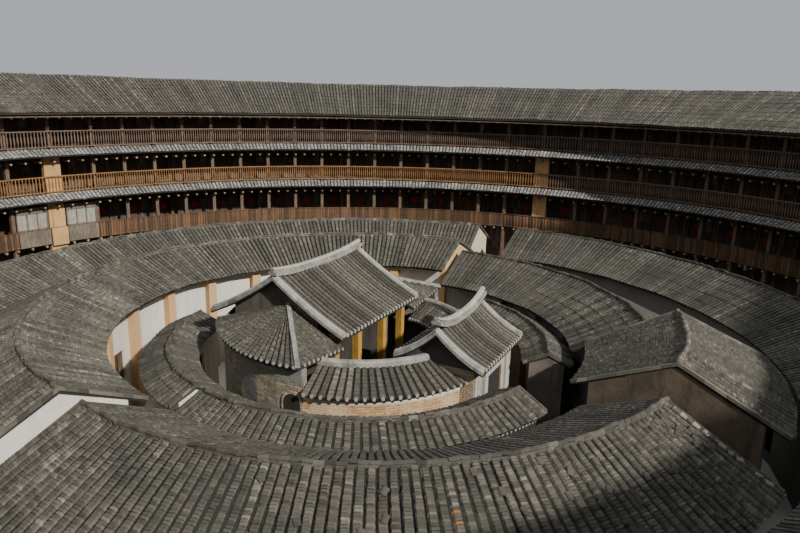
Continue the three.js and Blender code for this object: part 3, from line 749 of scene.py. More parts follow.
def timber_finish(name, dark, pale, worn=0.5, shaded=None):
    """Aged sawn timber with fine grain and darker patches. Painted shade colour is its painted shade past the
    right pier.
    """
    finish = Finish(name)
    grain = finish.noise(finish.stretch(finish.place, (22.0, 22.0, 5.0)), 1.0, 5)
    tone = finish.mix(finish.level(grain, 0.3, 0.7), dark, pale)
    if shaded:
        # Painted shade: past the right pier the timber turns to a shaded colour
        painted_shade_mask = finish.level(finish.around()[0], radians(STATIONS[1] - 3), radians(STATIONS[1] + 3))
        tone = finish.mix(painted_shade_mask, tone, shaded)
    patches = finish.level(finish.noise(finish.place, 3.0, 4), 0.4, 0.75, 0, worn)
    tone = finish.mix(patches, tone, darker(dark, 0.45))
    return finish.done(tone, grain, 0.006, 0.72)


def plaster_finish(name, pale, stain, amount=0.5, foot=0.0, inner=None, beyond=None, patch=1.6):
    """Lime plaster or smoothed earth with rain stains and a rough face. Inner names a centre, a radius and a
    colour: what stands closer to the centre has that colour. Beyond names an x and the colour past it."""
    finish = Finish(name)
    x, _, z = finish.parts(finish.place)
    blotches = finish.noise(finish.place, patch, 5)
    streaks = finish.noise(finish.stretch(finish.place, (6.0, 6.0, 0.9)), 1.0, 5)
    fine = finish.noise(finish.place, 40, 4)
    base = pale
    if inner:
        _, radius = finish.around((inner[0] * SCALE, 0))
        base = finish.mix(finish.math("LESS_THAN", radius, inner[1] * SCALE), pale, inner[2])
    if beyond:
        base = finish.mix(finish.math("GREATER_THAN", x, beyond[0] * SCALE), base, beyond[1])
    tone = finish.mix(finish.level(blotches, 0.35, 0.75, 0, amount), base, stain)
    tone = finish.mix(finish.level(streaks, 0.52, 0.8, 0, amount), tone, darker(stain, 0.6))
    if foot:
        low = finish.level(finish.math("MULTIPLY_ADD", blotches, 0.5, z), 0.15, foot * SCALE + 0.25, 0.6, 0)
        tone = finish.mix(low, tone, darker(stain))
    tone = finish.grain(tone, fine, 0.82, 1.12)
    return finish.done(tone, finish.math("MULTIPLY_ADD", fine, 0.3, blotches), 0.012, 0.9)


def earth_finish(name):
    """Rammed earth in lifts, with joints, pebbles and rain streaks under the eaves."""
    finish = Finish(name)
    angle, radius = finish.around()
    _, _, z = finish.parts(finish.place)
    arc = finish.math("MULTIPLY", angle, WALL_OUTSIDE * SCALE)
    wobble = finish.math("MULTIPLY", finish.noise(finish.place, 0.9, 3), 0.06)
    lift = finish.math("DIVIDE", finish.math("ADD", z, wobble), 0.42 * SCALE)
    level = finish.math("FLOOR", lift)
    run = finish.math("MULTIPLY_ADD", level, 0.37, finish.math("DIVIDE", arc, 2.1 * SCALE))
    chance = finish.chance(finish.math("FLOOR", run), level, 2.0)
    edges = finish.math("MINIMUM", finish.level(finish.ends(lift), 0.44, 0.5, 1, 0),
                        finish.level(finish.ends(run), 0.485, 0.5, 1, 0))
    blotches = finish.noise(finish.place, 0.55, 6)
    fine = finish.noise(finish.place, 26, 5)
    tones = [(0, (0.435, 0.32, 0.2)), (0.5, (0.465, 0.345, 0.217)), (1, (0.495, 0.37, 0.235))]
    tone = finish.ramp(chance, tones)
    tone = finish.mix(finish.level(blotches, 0.36, 0.68, 0, 0.75), tone, (0.31, 0.24, 0.165))
    wide = finish.point(finish.math("MULTIPLY", arc, 3.0), finish.math("MULTIPLY", z, 0.3), radius)
    near_top = finish.level(z, 3.2, 6.0, 0.15, 0.7)
    wet = finish.math("MULTIPLY", finish.level(finish.noise(wide, 1.0, 5), 0.45, 0.7), near_top)
    tone = finish.mix(wet, tone, (0.19, 0.15, 0.11))
    tone = finish.mix(finish.level(edges, 0, 1, 0.26, 0), tone, (0.17, 0.125, 0.08))
    tone = finish.grain(tone, fine, 0.72, 1.18)
    height = finish.math("MULTIPLY_ADD", edges, 0.7, finish.math("MULTIPLY_ADD", fine, 0.5, blotches))
    return finish.done(tone, height, 0.02, 0.95)


def cobble_finish(name, size, tones, joint=(0.12, 0.105, 0.085)):
    """Round river stones set in earth."""
    finish = Finish(name)
    place = finish.stretch(finish.place, (1, 1, 1.4))
    stones = finish.add("ShaderNodeTexVoronoi", feature="F1")
    borders = finish.add("ShaderNodeTexVoronoi", feature="DISTANCE_TO_EDGE")
    for node in (stones, borders):
        node.inputs["Scale"].default_value = 1 / (size * SCALE)
        finish.put(node.inputs["Vector"], place)
    fine = finish.noise(finish.place, 30, 4)
    tone = finish.grain(finish.ramp(finish.parts(stones.outputs["Color"])[0], tones), fine, 0.7, 1.25)
    body = finish.level(borders.outputs["Distance"], 0.02, 0.16)
    return finish.done(finish.mix(body, joint, tone), finish.math("MULTIPLY_ADD", fine, 0.2, body), 0.03, 0.9)


def brick_finish(name, dark, pale, joint, patch, radius=5.2, size=(0.3, 0.09), top=None):
    """Thin bricks round the hall under patches of old plaster. Top names a height and the colour above:
    painted shade on the tan brick, a cream band on the cream brick.
    """
    finish = Finish(name)
    angle, _ = finish.around((HALL_CENTRE * SCALE, 0))
    _, _, z = finish.parts(finish.place)
    up = finish.math("DIVIDE", z, size[1] * SCALE)
    level = finish.math("FLOOR", up)
    run = finish.math("MULTIPLY_ADD", level, 0.5, finish.math("MULTIPLY", angle, radius / size[0]))
    tone = finish.mix(finish.chance(finish.math("FLOOR", run), level, 5.0), dark, pale)
    edge = finish.math("MINIMUM", finish.level(finish.ends(up), 0.4, 0.47, 1, 0),
                       finish.level(finish.ends(run), 0.46, 0.49, 1, 0))
    tone = finish.mix(edge, joint, tone)
    cover = finish.level(finish.noise(finish.place, 1.8, 6), 0.46, 0.56)
    fine = finish.noise(finish.place, 35, 4)
    tone = finish.mix(cover, tone, patch)
    if top:
        tone = finish.mix(finish.math("GREATER_THAN", z, top[0] * SCALE), tone, top[1])
    tone = finish.grain(tone, fine, 0.75, 1.18)
    height = finish.math("MULTIPLY_ADD", fine, 0.3, finish.math("MULTIPLY_ADD", edge, 0.5, cover))
    return finish.done(tone, height, 0.01, 0.9)


# What a user may change

class RoofSettings(bpy.types.PropertyGroup):
    """Tiles and ridges of all roofs."""
    pitch: FloatProperty(
        name="Column pitch", description="Distance between tile columns at a ridge, full size",
        default=0.235, min=0.15, max=0.6, unit="LENGTH")
    finest_course: FloatProperty(
        name="Finest course", description="Length of a tile course on the nearest roofs",
        default=0.09, min=0.06, max=1.0, unit="LENGTH")
    fine_course: FloatProperty(
        name="Fine course", description="Length of a modelled tile course on the near roofs",
        default=0.17, min=0.08, max=1.0, unit="LENGTH")
    course: FloatProperty(
        name="Course", description="Length of a modelled tile course on the far roofs",
        default=0.6, min=0.1, max=2.0, unit="LENGTH")
    lightness: FloatProperty(
        name="Lightness", description="Lightness of the clay tiles",
        default=1.0, min=0.3, max=2.0, subtype="FACTOR")
    lime: FloatVectorProperty(
        name="Lime", description="Colour of the lime ridges and verges",
        default=(0.4, 0.385, 0.345), min=0, max=1, subtype="COLOR")


class GallerySettings(bpy.types.PropertyGroup):
    """Railings, parapet and timber of the galleries."""
    rail: FloatVectorProperty(
        name="Rail timber", description="Colour of the third storey's railings",
        default=(0.38, 0.19, 0.062), min=0, max=1, subtype="COLOR")
    top_rail: FloatVectorProperty(
        name="Top rail", description="Colour of the fourth storey's railings",
        default=(0.23, 0.15, 0.1), min=0, max=1, subtype="COLOR")
    boards: FloatVectorProperty(
        name="Boards", description="Colour of the parapet boards",
        default=(0.165, 0.086, 0.038), min=0, max=1, subtype="COLOR")
    rail_height: FloatProperty(
        name="Rail height", description="Height of a railing above its floor",
        default=1.0, min=0.6, max=1.3, unit="LENGTH")
    balusters: IntProperty(
        name="Balusters", description="Balusters in each bay of a railing",
        default=13, min=3, max=24)


class WallSettings(bpy.types.PropertyGroup):
    """Earth and plaster walls."""
    plaster: FloatVectorProperty(
        name="Plaster", description="Colour of the white plaster",
        default=(0.72, 0.69, 0.62), min=0, max=1, subtype="COLOR")
    ochre: FloatVectorProperty(
        name="Ochre", description="Colour of the earth piers and pillars",
        default=(0.62, 0.38, 0.16), min=0, max=1, subtype="COLOR")


class StageSettings(bpy.types.PropertyGroup):
    """Floor, light and camera."""
    floor: FloatVectorProperty(
        name="Floor", description="Colour of the floor",
        default=(0.6, 0.58, 0.54), min=0, max=1, subtype="COLOR")
    key: FloatProperty(
        name="Key light", description="Strength of the key light", default=4.95, min=0, max=20)
    fill: FloatProperty(
        name="Fill light", description="Strength of the even light", default=0.52, min=0, max=5)


# Operators

FINISHES = {}


def settings():
    """The settings of this house."""
    scene = bpy.context.scene
    return scene.round_house_roof, scene.round_house_gallery, scene.round_house_wall, scene.round_house_stage


def add_finish(kind, name, *values, **more):
    """Makes a shared finish and keeps it under its name."""
    FINISHES[name] = kind(name, *values, **more)


def dress(finish, *starts):
    """Gives a finish to every carried part whose name starts so."""
    names = [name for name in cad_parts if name.startswith(starts)]
    if not names:
        raise RuntimeError(f"no part of the frame starts with {starts}")
    for name in names:
        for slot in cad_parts[name].material_slots:
            slot.material = finish


def finished_boards(slab, name, node):
    """Finishes a roof's slab, which stands for a node of the frame: pan tiles in painted shade above, boards
    below.
    """
    return finished(slab, name, FINISHES["pan tiles"], (node,), FINISHES["roof boards"])


def in_every_bay(panel):
    """Copies of a panel in all bays of the galleries, each stretched to the width of its bay."""
    places = [turned(CENTRES[bay], 0.0, chord(bay, RAIL) / PANEL_WIDTH) for bay in range(len(BAYS))]
    return copies(panel, places)


class ROUNDHOUSE_OT_finishes(bpy.types.Operator):
    """Make the shared finishes and give them to the parts carried over from the frame"""
    bl_idname = "round_house.finishes"
    bl_label = "Finishes"

    def execute(self, context):
        roof, gallery, wall, _ = settings()
        rail, top_rail, boards = tuple(gallery.rail), tuple(gallery.top_rail), tuple(gallery.boards)
        ochre, plaster = tuple(wall.ochre), tuple(wall.plaster)
        add_finish(timber_finish, "roof boards", (0.05, 0.036, 0.026), (0.1, 0.07, 0.05))
        # Pan tiles near black: their own clay, darkened as painted shade in the grooves between tile columns
        add_finish(plaster_finish, "pan tiles", (0.028, 0.026, 0.022), (0.015, 0.014, 0.012), 0.6)
        add_finish(plaster_finish, "ridge tiles", (0.105, 0.098, 0.08), (0.04, 0.038, 0.03), 0.9)
        add_finish(plaster_finish, "pale tiles", (0.34, 0.315, 0.26), (0.16, 0.145, 0.12), 0.7)
        add_finish(plank_finish, "dark planks", (0.06, 0.042, 0.03), (0.15, 0.105, 0.072), 0.2)
        add_finish(plank_finish, "floor boards", (0.1, 0.07, 0.045), (0.2, 0.145, 0.1), 0.22, flat=True)
        add_finish(plank_finish, "parapet boards", darker(boards, 0.6), boards, 0.17, wear=0.5)
        # The third storey's rails take a painted shade colour past the right pier
        add_finish(timber_finish, "rail timber 3", darker(rail), rail, shaded=darker(top_rail, 0.8))
        add_finish(timber_finish, "rail timber 4", darker(top_rail), top_rail)
        add_finish(timber_finish, "post timber", (0.09, 0.058, 0.037), (0.22, 0.145, 0.09))
        add_finish(timber_finish, "dark timber", (0.045, 0.03, 0.02), (0.11, 0.075, 0.05))
        add_finish(timber_finish, "pale timber", (0.165, 0.12, 0.07), (0.48, 0.37, 0.235), 0.6)
        add_finish(timber_finish, "grey shutter", (0.11, 0.088, 0.068), (0.24, 0.2, 0.155))
        add_finish(timber_finish, "yellow paint", (0.4, 0.21, 0.03), (0.58, 0.34, 0.06), 0.4)
        add_finish(plaster_finish, "lime", tuple(roof.lime), darker(roof.lime, 0.3), 0.95, patch=5.0)
        add_finish(plaster_finish, "lime ends", (0.5, 0.48, 0.43), (0.24, 0.225, 0.19), 0.7, patch=5.0)
        add_finish(plaster_finish, "ochre earth", ochre, darker(ochre, 0.55), 0.7)
        earth, soot = (0.18, 0.135, 0.088), (0.075, 0.065, 0.054)
        add_finish(plaster_finish, "stained earth", earth, soot, 0.95, patch=3.0)
        add_finish(plaster_finish, "dark plaster", (0.17, 0.15, 0.125), (0.07, 0.062, 0.052), 0.9)
        add_finish(plaster_finish, "cut stone", (0.34, 0.32, 0.29), (0.2, 0.18, 0.16), 0.6)
        add_finish(plaster_finish, "red paper", (0.42, 0.018, 0.014), (0.25, 0.012, 0.01), 0.4)
        add_finish(plaster_finish, "window paper", (0.2, 0.175, 0.14), (0.09, 0.08, 0.06), 0.6)
        add_finish(plaster_finish, "pale pane", (0.4, 0.375, 0.31), (0.2, 0.18, 0.145), 0.7, patch=8.0)
        add_finish(earth_finish, "rammed earth")
        stones = [(0, (0.16, 0.15, 0.13)), (0.5, (0.27, 0.25, 0.21)), (1, (0.4, 0.37, 0.31))]
        add_finish(cobble_finish, "river stone", 0.42, stones)
        self.bricks()
        dress(FINISHES["rammed earth"], "outer_wall")
        dress(FINISHES["river stone"], "stone_plinth")
        dress(FINISHES["floor boards"], "floor_")
        dress(FINISHES["dark planks"], "room_front")
        dress(FINISHES["post timber"], "gallery_posts")
        dress(FINISHES["ochre earth"], "earth_pier")
        dress(FINISHES["hall brick"], "hall_round_wall")
        dress(FINISHES["tan brick"], "gate_hall_walls")
        dress(FINISHES["cream brick"], "wing_wall")
        dress(FINISHES["stained earth"], "entry_block_walls")
        dress(FINISHES["dark plaster"], "main_hall_walls", "corridor_right_walls")
        dress(FINISHES["yellow paint"], "main_hall_columns")
        self.ring_walls(plaster, ochre)
        return {"FINISHED"}

    def bricks(self):
        """Brick of the hall: dark, pale, joint and plaster colours."""
        add_finish(brick_finish, "hall brick", (0.2, 0.175, 0.13), (0.44, 0.365, 0.25), (0.12, 0.105, 0.085),
                   (0.235, 0.23, 0.205))
        # Painted shade: the tan brick turns near black above 4.25 m, on the gable under the verge
        add_finish(brick_finish, "tan brick", (0.3, 0.22, 0.13), (0.55, 0.42, 0.26), (0.2, 0.16, 0.11),
                   (0.36, 0.32, 0.25), top=(4.25, (0.075, 0.073, 0.072)))
        add_finish(brick_finish, "cream brick", (0.42, 0.24, 0.11), (0.62, 0.4, 0.21), (0.3, 0.21, 0.13),
                   (0.6, 0.45, 0.27), top=(3.5, (0.68, 0.66, 0.6)))

    def ring_walls(self, plaster, ochre):
        """Plaster of the inner rings, with the pillars and the far gables in other colours and the right-hand
        parts darker with painted shade.
        """
        # Painted shade: the right-hand parts of the rings get a darker copy of the plaster
        shade = {"second_ring_right": 0.45, "first_ring_right": 0.3}
        gables = {"second_ring_left": (3.0, (0.75, 0.46, 0.2)), "first_ring_left": (5.5, (0.72, 0.6, 0.4))}
        for name, part in RING_PARTS.items():
            if name in ("entry_block", "corridor_right"):
                continue
            inner = (part.centre, part.wall_in * 0.995, ochre) if name == "second_ring_left" else None
            tone = darker(plaster, shade.get(name, 1.0))
            stain = darker(tone, 0.55)
            finish = plaster_finish(f"{name} plaster", tone, stain, 0.35, 1.2, inner, gables.get(name))
            dress(finish, f"{name}_walls")


class ROUNDHOUSE_OT_main_roof(bpy.types.Operator):
    """Build the tiled roof of the outer ring"""
    bl_idname = "round_house.main_roof"
    bl_label = "Main roof"

    def execute(self, context):
        roof = settings()[0]
        ridge = (MAIN_RIDGE, MAIN_RIDGE_HEIGHT - MAIN_INSET)
        (inner_radius, inner_height), (outer_radius, outer_height) = MAIN_EAVES
        inner, outer = (inner_radius + MAIN_INSET, inner_height), (outer_radius - 0.1, outer_height)
        slab = roof_slab(0, FULL_TURN, ridge, (inner, outer), MAIN_THICKNESS - MAIN_INSET, 0.0)
        finished_boards(settled(slab), "main_roof_boards", "main_roof")
        columns = round(2 * math.pi * MAIN_RIDGE / roof.pitch)
        step = FULL_TURN / columns
        cells = round_cells(0.0, 0.0, step, MAIN_RIDGE, 0.1)
        finish = tile_finish("main roof tiles", cells, 1.0 * roof.lightness, 1, share=0.45)
        for name, edge in (("inner", inner), ("outer", outer)):
            eave, top = slope_line(edge, ridge)
            tiles = round_tiles(0, FULL_TURN, eave, top, columns, roof.course, 3)
            finished(settled(tiles), f"main_roof_tiles_{name}", finish)
        cap = round_ridge(0, FULL_TURN, MAIN_RIDGE, ridge[1] - 0.1, 5)
        cells = ridge_cells(0.0, 0.0, ridge_step(0, FULL_TURN, MAIN_RIDGE), MAIN_RIDGE)
        finish = tile_finish("main roof ridge", cells, roof.lightness, 3)
        finished(settled(cap), "main_roof_ridge", finish)
        return {"FINISHED"}


class ROUNDHOUSE_OT_ring_roofs(bpy.types.Operator):
    """Build the tiled roofs of the inner rings and the corridor ring"""
    bl_idname = "round_house.ring_roofs"
    bl_label = "Ring roofs"

    def execute(self, context):
        roof = settings()[0]
        for seed, (name, part) in enumerate(RING_PARTS.items()):
            centre, first, last, ridge_radius, height, inner, outer = part[:7]
            ridge = (ridge_radius, height)
            eaves = [(radius, height - abs(ridge_radius - radius) * RING_RISE) for radius in (inner, outer)]
            slab = roof_slab(first, last - 0.01, ridge, eaves, RING_THICKNESS, centre, side=3.0)
            finished_boards(settled(slab), f"{name}_boards", f"{name}_roof")
            columns = round(2 * math.pi * ridge_radius * (last - first) / FULL_TURN / roof.pitch)
            step = (last - first) / columns
            light = roof.lightness * (1.15 if name in FINE_PARTS else 0.92)
            share, groove_shade = (0.35, 0.37) if name in FINEST_PARTS else (0.55, 0.29)
            cells = round_cells(centre, first, step, ridge_radius)
            finish = tile_finish(f"{name} tiles", cells, light, seed, share=share, groove_shade_start=groove_shade)
            course = roof.finest_course if name in FINEST_PARTS else roof.course
            course = roof.fine_course if name in FINE_PARTS else course
            slopes = []
            for side, edge in zip((-1, 1), eaves):
                eave, top = slope_line((edge[0] + side * 0.05, edge[1] - 0.02), ridge)
                slopes.append(round_tiles(first, last, eave, top, columns, course, seed, centre))
            finished(settled(joined(slopes, "tiles")), f"{name}_tiles", finish)
            cap = round_ridge(first, last, ridge_radius, height - 0.03, seed, centre)
            ends = [self.verge(azimuth, ridge, eave, centre) for azimuth in (first, last) for eave in eaves]
            cells = ridge_cells(centre, first, ridge_step(first, last, ridge_radius), ridge_radius)
            ridge_light = light * (1.7 if name == "entry_block" else 0.85)
            finish = tile_finish(f"{name} ridge", cells, ridge_light, seed)
            finished(settled(joined([cap, *ends], "ridge")), f"{name}_ridge", finish)
        self.loose_tiles()
        return {"FINISHED"}

    def loose_tiles(self):
        """Slipped tiles on the nearest roof, thickest towards its first azimuth, and a row along that end."""
        centre, first, _, ridge, height = RING_PARTS["second_ring_near"][:5]
        generator = np.random.default_rng(17)
        slope = Matrix.Rotation(-math.atan(RING_RISE), 4, "X")
        places = {"ridge tiles": [], "pale tiles": []}
        for index in range(96):
            along_end = index % 4 == 0
            azimuth = first + 0.7 if along_end else first + 2 + 60 * generator.random() ** 2
            radius = ridge + 0.3 + 2.7 * generator.random()
            lift = height - (radius - ridge) * RING_RISE - 0.01
            turn = Matrix.Rotation(generator.normal(math.pi / 2, 0.35), 4, "Z")
            place = turned(azimuth, centre) @ Matrix.Translation((0, radius, lift)) @ slope @ turn
            places["pale tiles" if index % 8 == 4 else "ridge tiles"].append(place)
        for finish, where in places.items():
            tile = ridge_tile(0.19, 0.055, 0.2)
            name = "slipped_" + finish.replace(" ", "_")
            finished(settled(copies(tile, where)), name, FINISHES[finish])

    def verge(self, azimuth, ridge, eave, centre):
        """Row of bedded tiles along the end of a roof, from the eave to the ridge."""
        start, end = polar(eave[0], azimuth, eave[1], centre), polar(ridge[0], azimuth, ridge[1], centre)
        outline = [(-0.05, -0.09), (0.05, -0.09), (0.04, 0.015), (-0.04, 0.015)]
        side = Vector((math.cos(radians(azimuth)), -math.sin(radians(azimuth)), 0))
        return swept([side * across + Vector((0, 0, up)) for across, up in outline], [start, end])


class ROUNDHOUSE_OT_pent_roofs(bpy.types.Operator):
    """Build the narrow tiled skirts under the two upper galleries"""
    bl_idname = "round_house.pent_roofs"
    bl_label = "Pent roofs"

    def execute(self, context):
        roof = settings()[0]
        columns = round(2 * math.pi * PENT_MIDDLE / roof.pitch)
        step = FULL_TURN / columns
        for storey in (2, 3):
            top = FLOORS[storey] - 0.02
            outline = [(PENT_EAVE, top - 0.34), (PENT_TOP, top - 0.03), (PENT_BACK, top - 0.03),
                       (PENT_BACK, top - 0.13), (PENT_TOP, top - 0.13), (PENT_EAVE, top - 0.41)]
            name = f"pent_roof_{storey + 1}"
            finished_boards(spun(outline, 0, FULL_TURN), f"{name}_boards", name)
            foot, head = (PENT_EAVE - 0.04, top - 0.36), (PENT_TOP, top - 0.03)
            tiles = round_tiles(0, FULL_TURN, foot, head, columns, 0.3, storey)
            cells = round_cells(0.0, 0.0, step, PENT_TOP)
            finish = tile_finish(f"{name} tiles", cells, roof.lightness, storey, PALE_TONES)
            finished(tiles, f"{name}_tiles", finish)
        return {"FINISHED"}


def baluster(height):
    """Turned baluster: a square bar drawn in at its neck and foot."""
    deselect()
    bpy.ops.mesh.primitive_cylinder_add(vertices=4, radius=0.035, depth=height, end_fill_type="NOTHING",
                                        rotation=(0, 0, math.pi / 4))
    piece = apply_place(bpy.context.object)
    for level in (-0.3, -0.12, 0.12, 0.3):
        pick_all(piece)
        bpy.ops.mesh.bisect(plane_co=(0, 0, level * height), plane_no=(0, 0, 1))
    bpy.ops.object.mode_set(mode="OBJECT")
    for vertex in piece.data.vertices:
        share = abs(vertex.co.z / height)
        factor = 1.25 if share < 0.2 else 0.62 if share < 0.4 else 1.0
        vertex.co.x *= factor
        vertex.co.y *= factor
    return piece


class ROUNDHOUSE_OT_railings(bpy.types.Operator):
    """Build the turned railings of the third and fourth storeys"""
    bl_idname = "round_house.railings"
    bl_label = "Railings"

    def execute(self, context):
        gallery = settings()[1]
        for storey in (2, 3):
            floor, height = FLOORS[storey], gallery.rail_height
            gap = PANEL_WIDTH / gallery.balusters
            bars = baluster(height - 0.14)
            bars.location = (-PANEL_WIDTH / 2 + gap / 2, RAIL, floor + height / 2)
            row(apply_place(bars), gallery.balusters, (gap, 0, 0))
            rails = [
                block((PANEL_WIDTH + 0.02, 0.09, 0.07), (0, RAIL, floor + height - 0.035), 0.012),
                block((PANEL_WIDTH + 0.02, 0.06, 0.06), (0, RAIL, floor + 0.08), 0.01),
            ]
            panel = joined([bars, *rails], "panel")
            name, finish = f"railing_{storey + 1}", FINISHES[f"rail timber {storey + 1}"]
            finished(in_every_bay(panel), f"{name}_bars", finish, (name,))
        return {"FINISHED"}


class ROUNDHOUSE_OT_parapet(bpy.types.Operator):
    """Build the boarded parapet of the second storey"""
    bl_idname = "round_house.parapet"
    bl_label = "Parapet"

    def execute(self, context):
        floor, gap = FLOORS[1], PANEL_WIDTH / PARAPET_PLANKS
        middle = (-PANEL_WIDTH / 2 + gap / 2, RAIL, floor + PARAPET_HEIGHT / 2)
        plank = block((gap - 0.015, 0.035, PARAPET_HEIGHT - 0.1), middle, 0.006)
        row(plank, PARAPET_PLANKS, (gap, 0, 0))
        rails = [
            block((PANEL_WIDTH + 0.02, 0.1, 0.06), (0, RAIL, floor + PARAPET_HEIGHT - 0.03), 0.01),
            block((PANEL_WIDTH + 0.02, 0.06, 0.09), (0, RAIL - 0.02, floor + 0.06), 0.01),
        ]
        panels = in_every_bay(joined([plank, *rails], "panel"))
        finished(panels, "parapet_2_boards", FINISHES["parapet boards"], ("parapet_2",))
        return {"FINISHED"}


class ROUNDHOUSE_OT_shutters(bpy.types.Operator):
    """Build the boarded and glazed stretch of the second storey beside the left pier"""
    bl_idname = "round_house.shutters"
    bl_label = "Shutters"

    def execute(self, context):
        floor, inside, middle = FLOORS[1], RAIL + 0.08, FLOORS[1] + 1.45
        boards = [block((0.2, 0.03, 0.9), (-0.8 + index * 0.2, RAIL - 0.075, floor + 0.47), 0.005)
                  for index in range(9)]
        boards.append(block((SHUTTER_WIDTH, 0.05, 0.3), (0, inside, floor + 2.1), 0.01))
        frames = [block((0.07, 0.06, 1.02), ((index - 1.5) * PANE_PITCH, inside, middle))
                  for index in range(4)]
        frames += [block((SHUTTER_WIDTH, 0.06, 0.07), (0, inside, floor + level)) for level in (0.98, 1.93)]
        panes = [block((0.5, 0.02, 0.92), ((index - 1) * PANE_PITCH, RAIL + 0.1, middle))
                 for index in range(3)]
        places = [turned(CENTRES[0] + 0.5), turned(CENTRES[-1] - 0.5)]
        for name, pieces, finish in (("boards", boards, "grey shutter"), ("frames", frames, "grey shutter"),
                                     ("panes", panes, "pale pane")):
            piece = copies(joined(pieces, name), places)
            finished(piece, f"shutter_{name}", FINISHES[finish])
        foot = placed(block((0.95, 0.1, 1.04), (0, RAIL - 0.09, floor + 0.42), 0.02), turned(STATIONS[0]))
        finished(foot, "pier_foot", FINISHES["ochre earth"])
        return {"FINISHED"}


class ROUNDHOUSE_OT_gallery_timber(bpy.types.Operator):
    """Build the joist ends, edge boards and rafters of the galleries"""
    bl_idname = "round_house.gallery_timber"
    bl_label = "Gallery timber"

    def execute(self, context):
        finished(self.joist_ends(), "joist_ends", FINISHES["pale timber"])
        boards = []
        for storey in (1, 2, 3):
            top = FLOORS[storey] - 0.02
            low = top - (0.6 if storey > 1 else 0.2)
            boards.append(hoop(EDGE, (low, top)))
        finished(joined(boards, "boards"), "edge_boards", FINISHES["dark timber"])
        finished(self.rafters(), "eave_rafters", FINISHES["post timber"])
        return {"FINISHED"}

    def joist_ends(self):
        """Round ends of the floor joists, three in each bay."""
        turns = [first + share * (last - first) for first, last in BAYS for share in (0, 0.33, 0.67)]
        ends = []
        for storey in (1, 2, 3):
            height, length = (0.1, 0.5) if storey == 1 else (0.72, 0.75)
            deselect()
            bpy.ops.mesh.primitive_cylinder_add(
                vertices=8, radius=0.07, depth=length, rotation=(math.pi / 2, 0, 0),
                location=(0, EDGE[1] - length / 2, FLOORS[storey] - height))
            end = apply_place(bpy.context.object)
            ends.append(copies(end, [turned(azimuth) for azimuth in turns]))
        return joined(ends, "ends")

    def rafters(self):
        """Rafters and edge board under the inner eave of the main roof."""
        eave, level = MAIN_EAVES[0]
        start = (eave + 0.12, level - 0.34)
        rise = (MAIN_RIDGE_HEIGHT - level) / (MAIN_RIDGE - eave)
        path = (0, *start), (0, RAFTER_END, start[1] + rise * (RAFTER_END - start[0]))
        length = (Vector(path[1]) - Vector(path[0])).length
        rafter = placed(block((0.1, length, 0.12), (0, length / 2, 0)), along_slope(*path))
        count = 3 * len(BAYS)
        round_row(rafter, count, FULL_TURN / count)
        board = hoop((eave + 0.1, eave + 0.14), (start[1] + 0.02, start[1] + 0.08))
        return joined([rafter, board], "eave")


def framed_opening(width, height, place, depth=0.2, bar=0.07, bars=0):
    """Timber frame round an opening, with standing bars in it. The place is the middle of its foot."""
    x, y, z = place
    pieces = [
        block((bar, depth, height + bar), (x - width / 2 - bar / 2, y, z + height / 2 + bar / 2)),
        block((bar, depth, height + bar), (x + width / 2 + bar / 2, y, z + height / 2 + bar / 2)),
        block((width, depth, bar), (x, y, z + height + bar / 2)),
    ]
    for index in range(bars):
        offset = (index + 1) / (bars + 1) - 0.5
        pieces.append(block((0.035, 0.035, height), (x + offset * width, y, z + height / 2)))
    if bars:
        pieces.append(block((width + 2 * bar, depth, bar), (x, y, z - bar / 2)))
    return joined(pieces, "frame")


# Hinge line and opening of a door leaf that stands ajar
LEAF_PLACE = Matrix.Translation((-0.48, 0.16, 0)) @ Matrix.Rotation(radians(5), 4, "Z")


class ROUNDHOUSE_OT_room_fronts(bpy.types.Operator):
    """Build the doors and windows of the rooms behind the galleries"""
    bl_idname = "round_house.room_fronts"
    bl_label = "Room fronts"

    def execute(self, context):
        for storey, floor in enumerate(FLOORS):
            bays = [bay for bay in range(len(BAYS)) if storey or bay not in GATES]
            places = {}
            for bay in bays:
                azimuth = CENTRES[bay]
                places[bay] = turned(azimuth) @ Matrix.Translation((0, side_radius(FRONT, azimuth), floor))
            every = list(places.values())
            closed = [places[bay] for bay in bays if bay % DOOR_EVERY]
            opened = [places[bay] for bay in bays if bay % DOOR_EVERY == 0]
            frames = joined([
                framed_opening(0.93, 1.9, (0, 0.02, 0.14)),
                framed_opening(0.36, 0.7, (0.78, 0.0, 1.15), 0.14, 0.045, 3),
            ], "frame")
            for piece, where, name, finish in (
                (frames, every, "room_frames", "post timber"),
                (self.closed_leaf(), closed, "room_doors", "dark timber"),
                (self.open_leaf(), opened, "open_doors", "dark timber"),
                (block((0.35, 0.02, 0.69), (0.78, -0.012, 1.5)), every, "window_panes", "window paper"),
            ):
                finished(copies(piece, where), f"{name}_{storey + 1}", FINISHES[finish])
            if storey == 1:
                paper = block((0.36, 0.012, 0.36))
                placed(paper, Matrix.Translation((0, -0.08, 1.25)) @ Matrix.Rotation(radians(45), 4, "Y"))
                turn = LEAF_PLACE @ Matrix.Translation((0.48, 0.045, 0))
                papers = closed + [place @ turn for place in opened]
                finished(copies(paper, papers), "red_papers", FINISHES["red paper"])
        return {"FINISHED"}

    def closed_leaf(self):
        """Boarded door leaf with two ledges."""
        leaf = block((0.91, 0.05, 1.86), (0, -0.02, 1.08), 0.01)
        ledges = [block((0.8, 0.03, 0.07), (0, -0.055, height)) for height in (0.6, 1.6)]
        return joined([leaf, *ledges], "leaf")

    def open_leaf(self):
        """Door leaf that stands open into the room."""
        return placed(block((0.98, 0.045, 1.86), (0.49, 0, 1.08), 0.01), LEAF_PLACE)


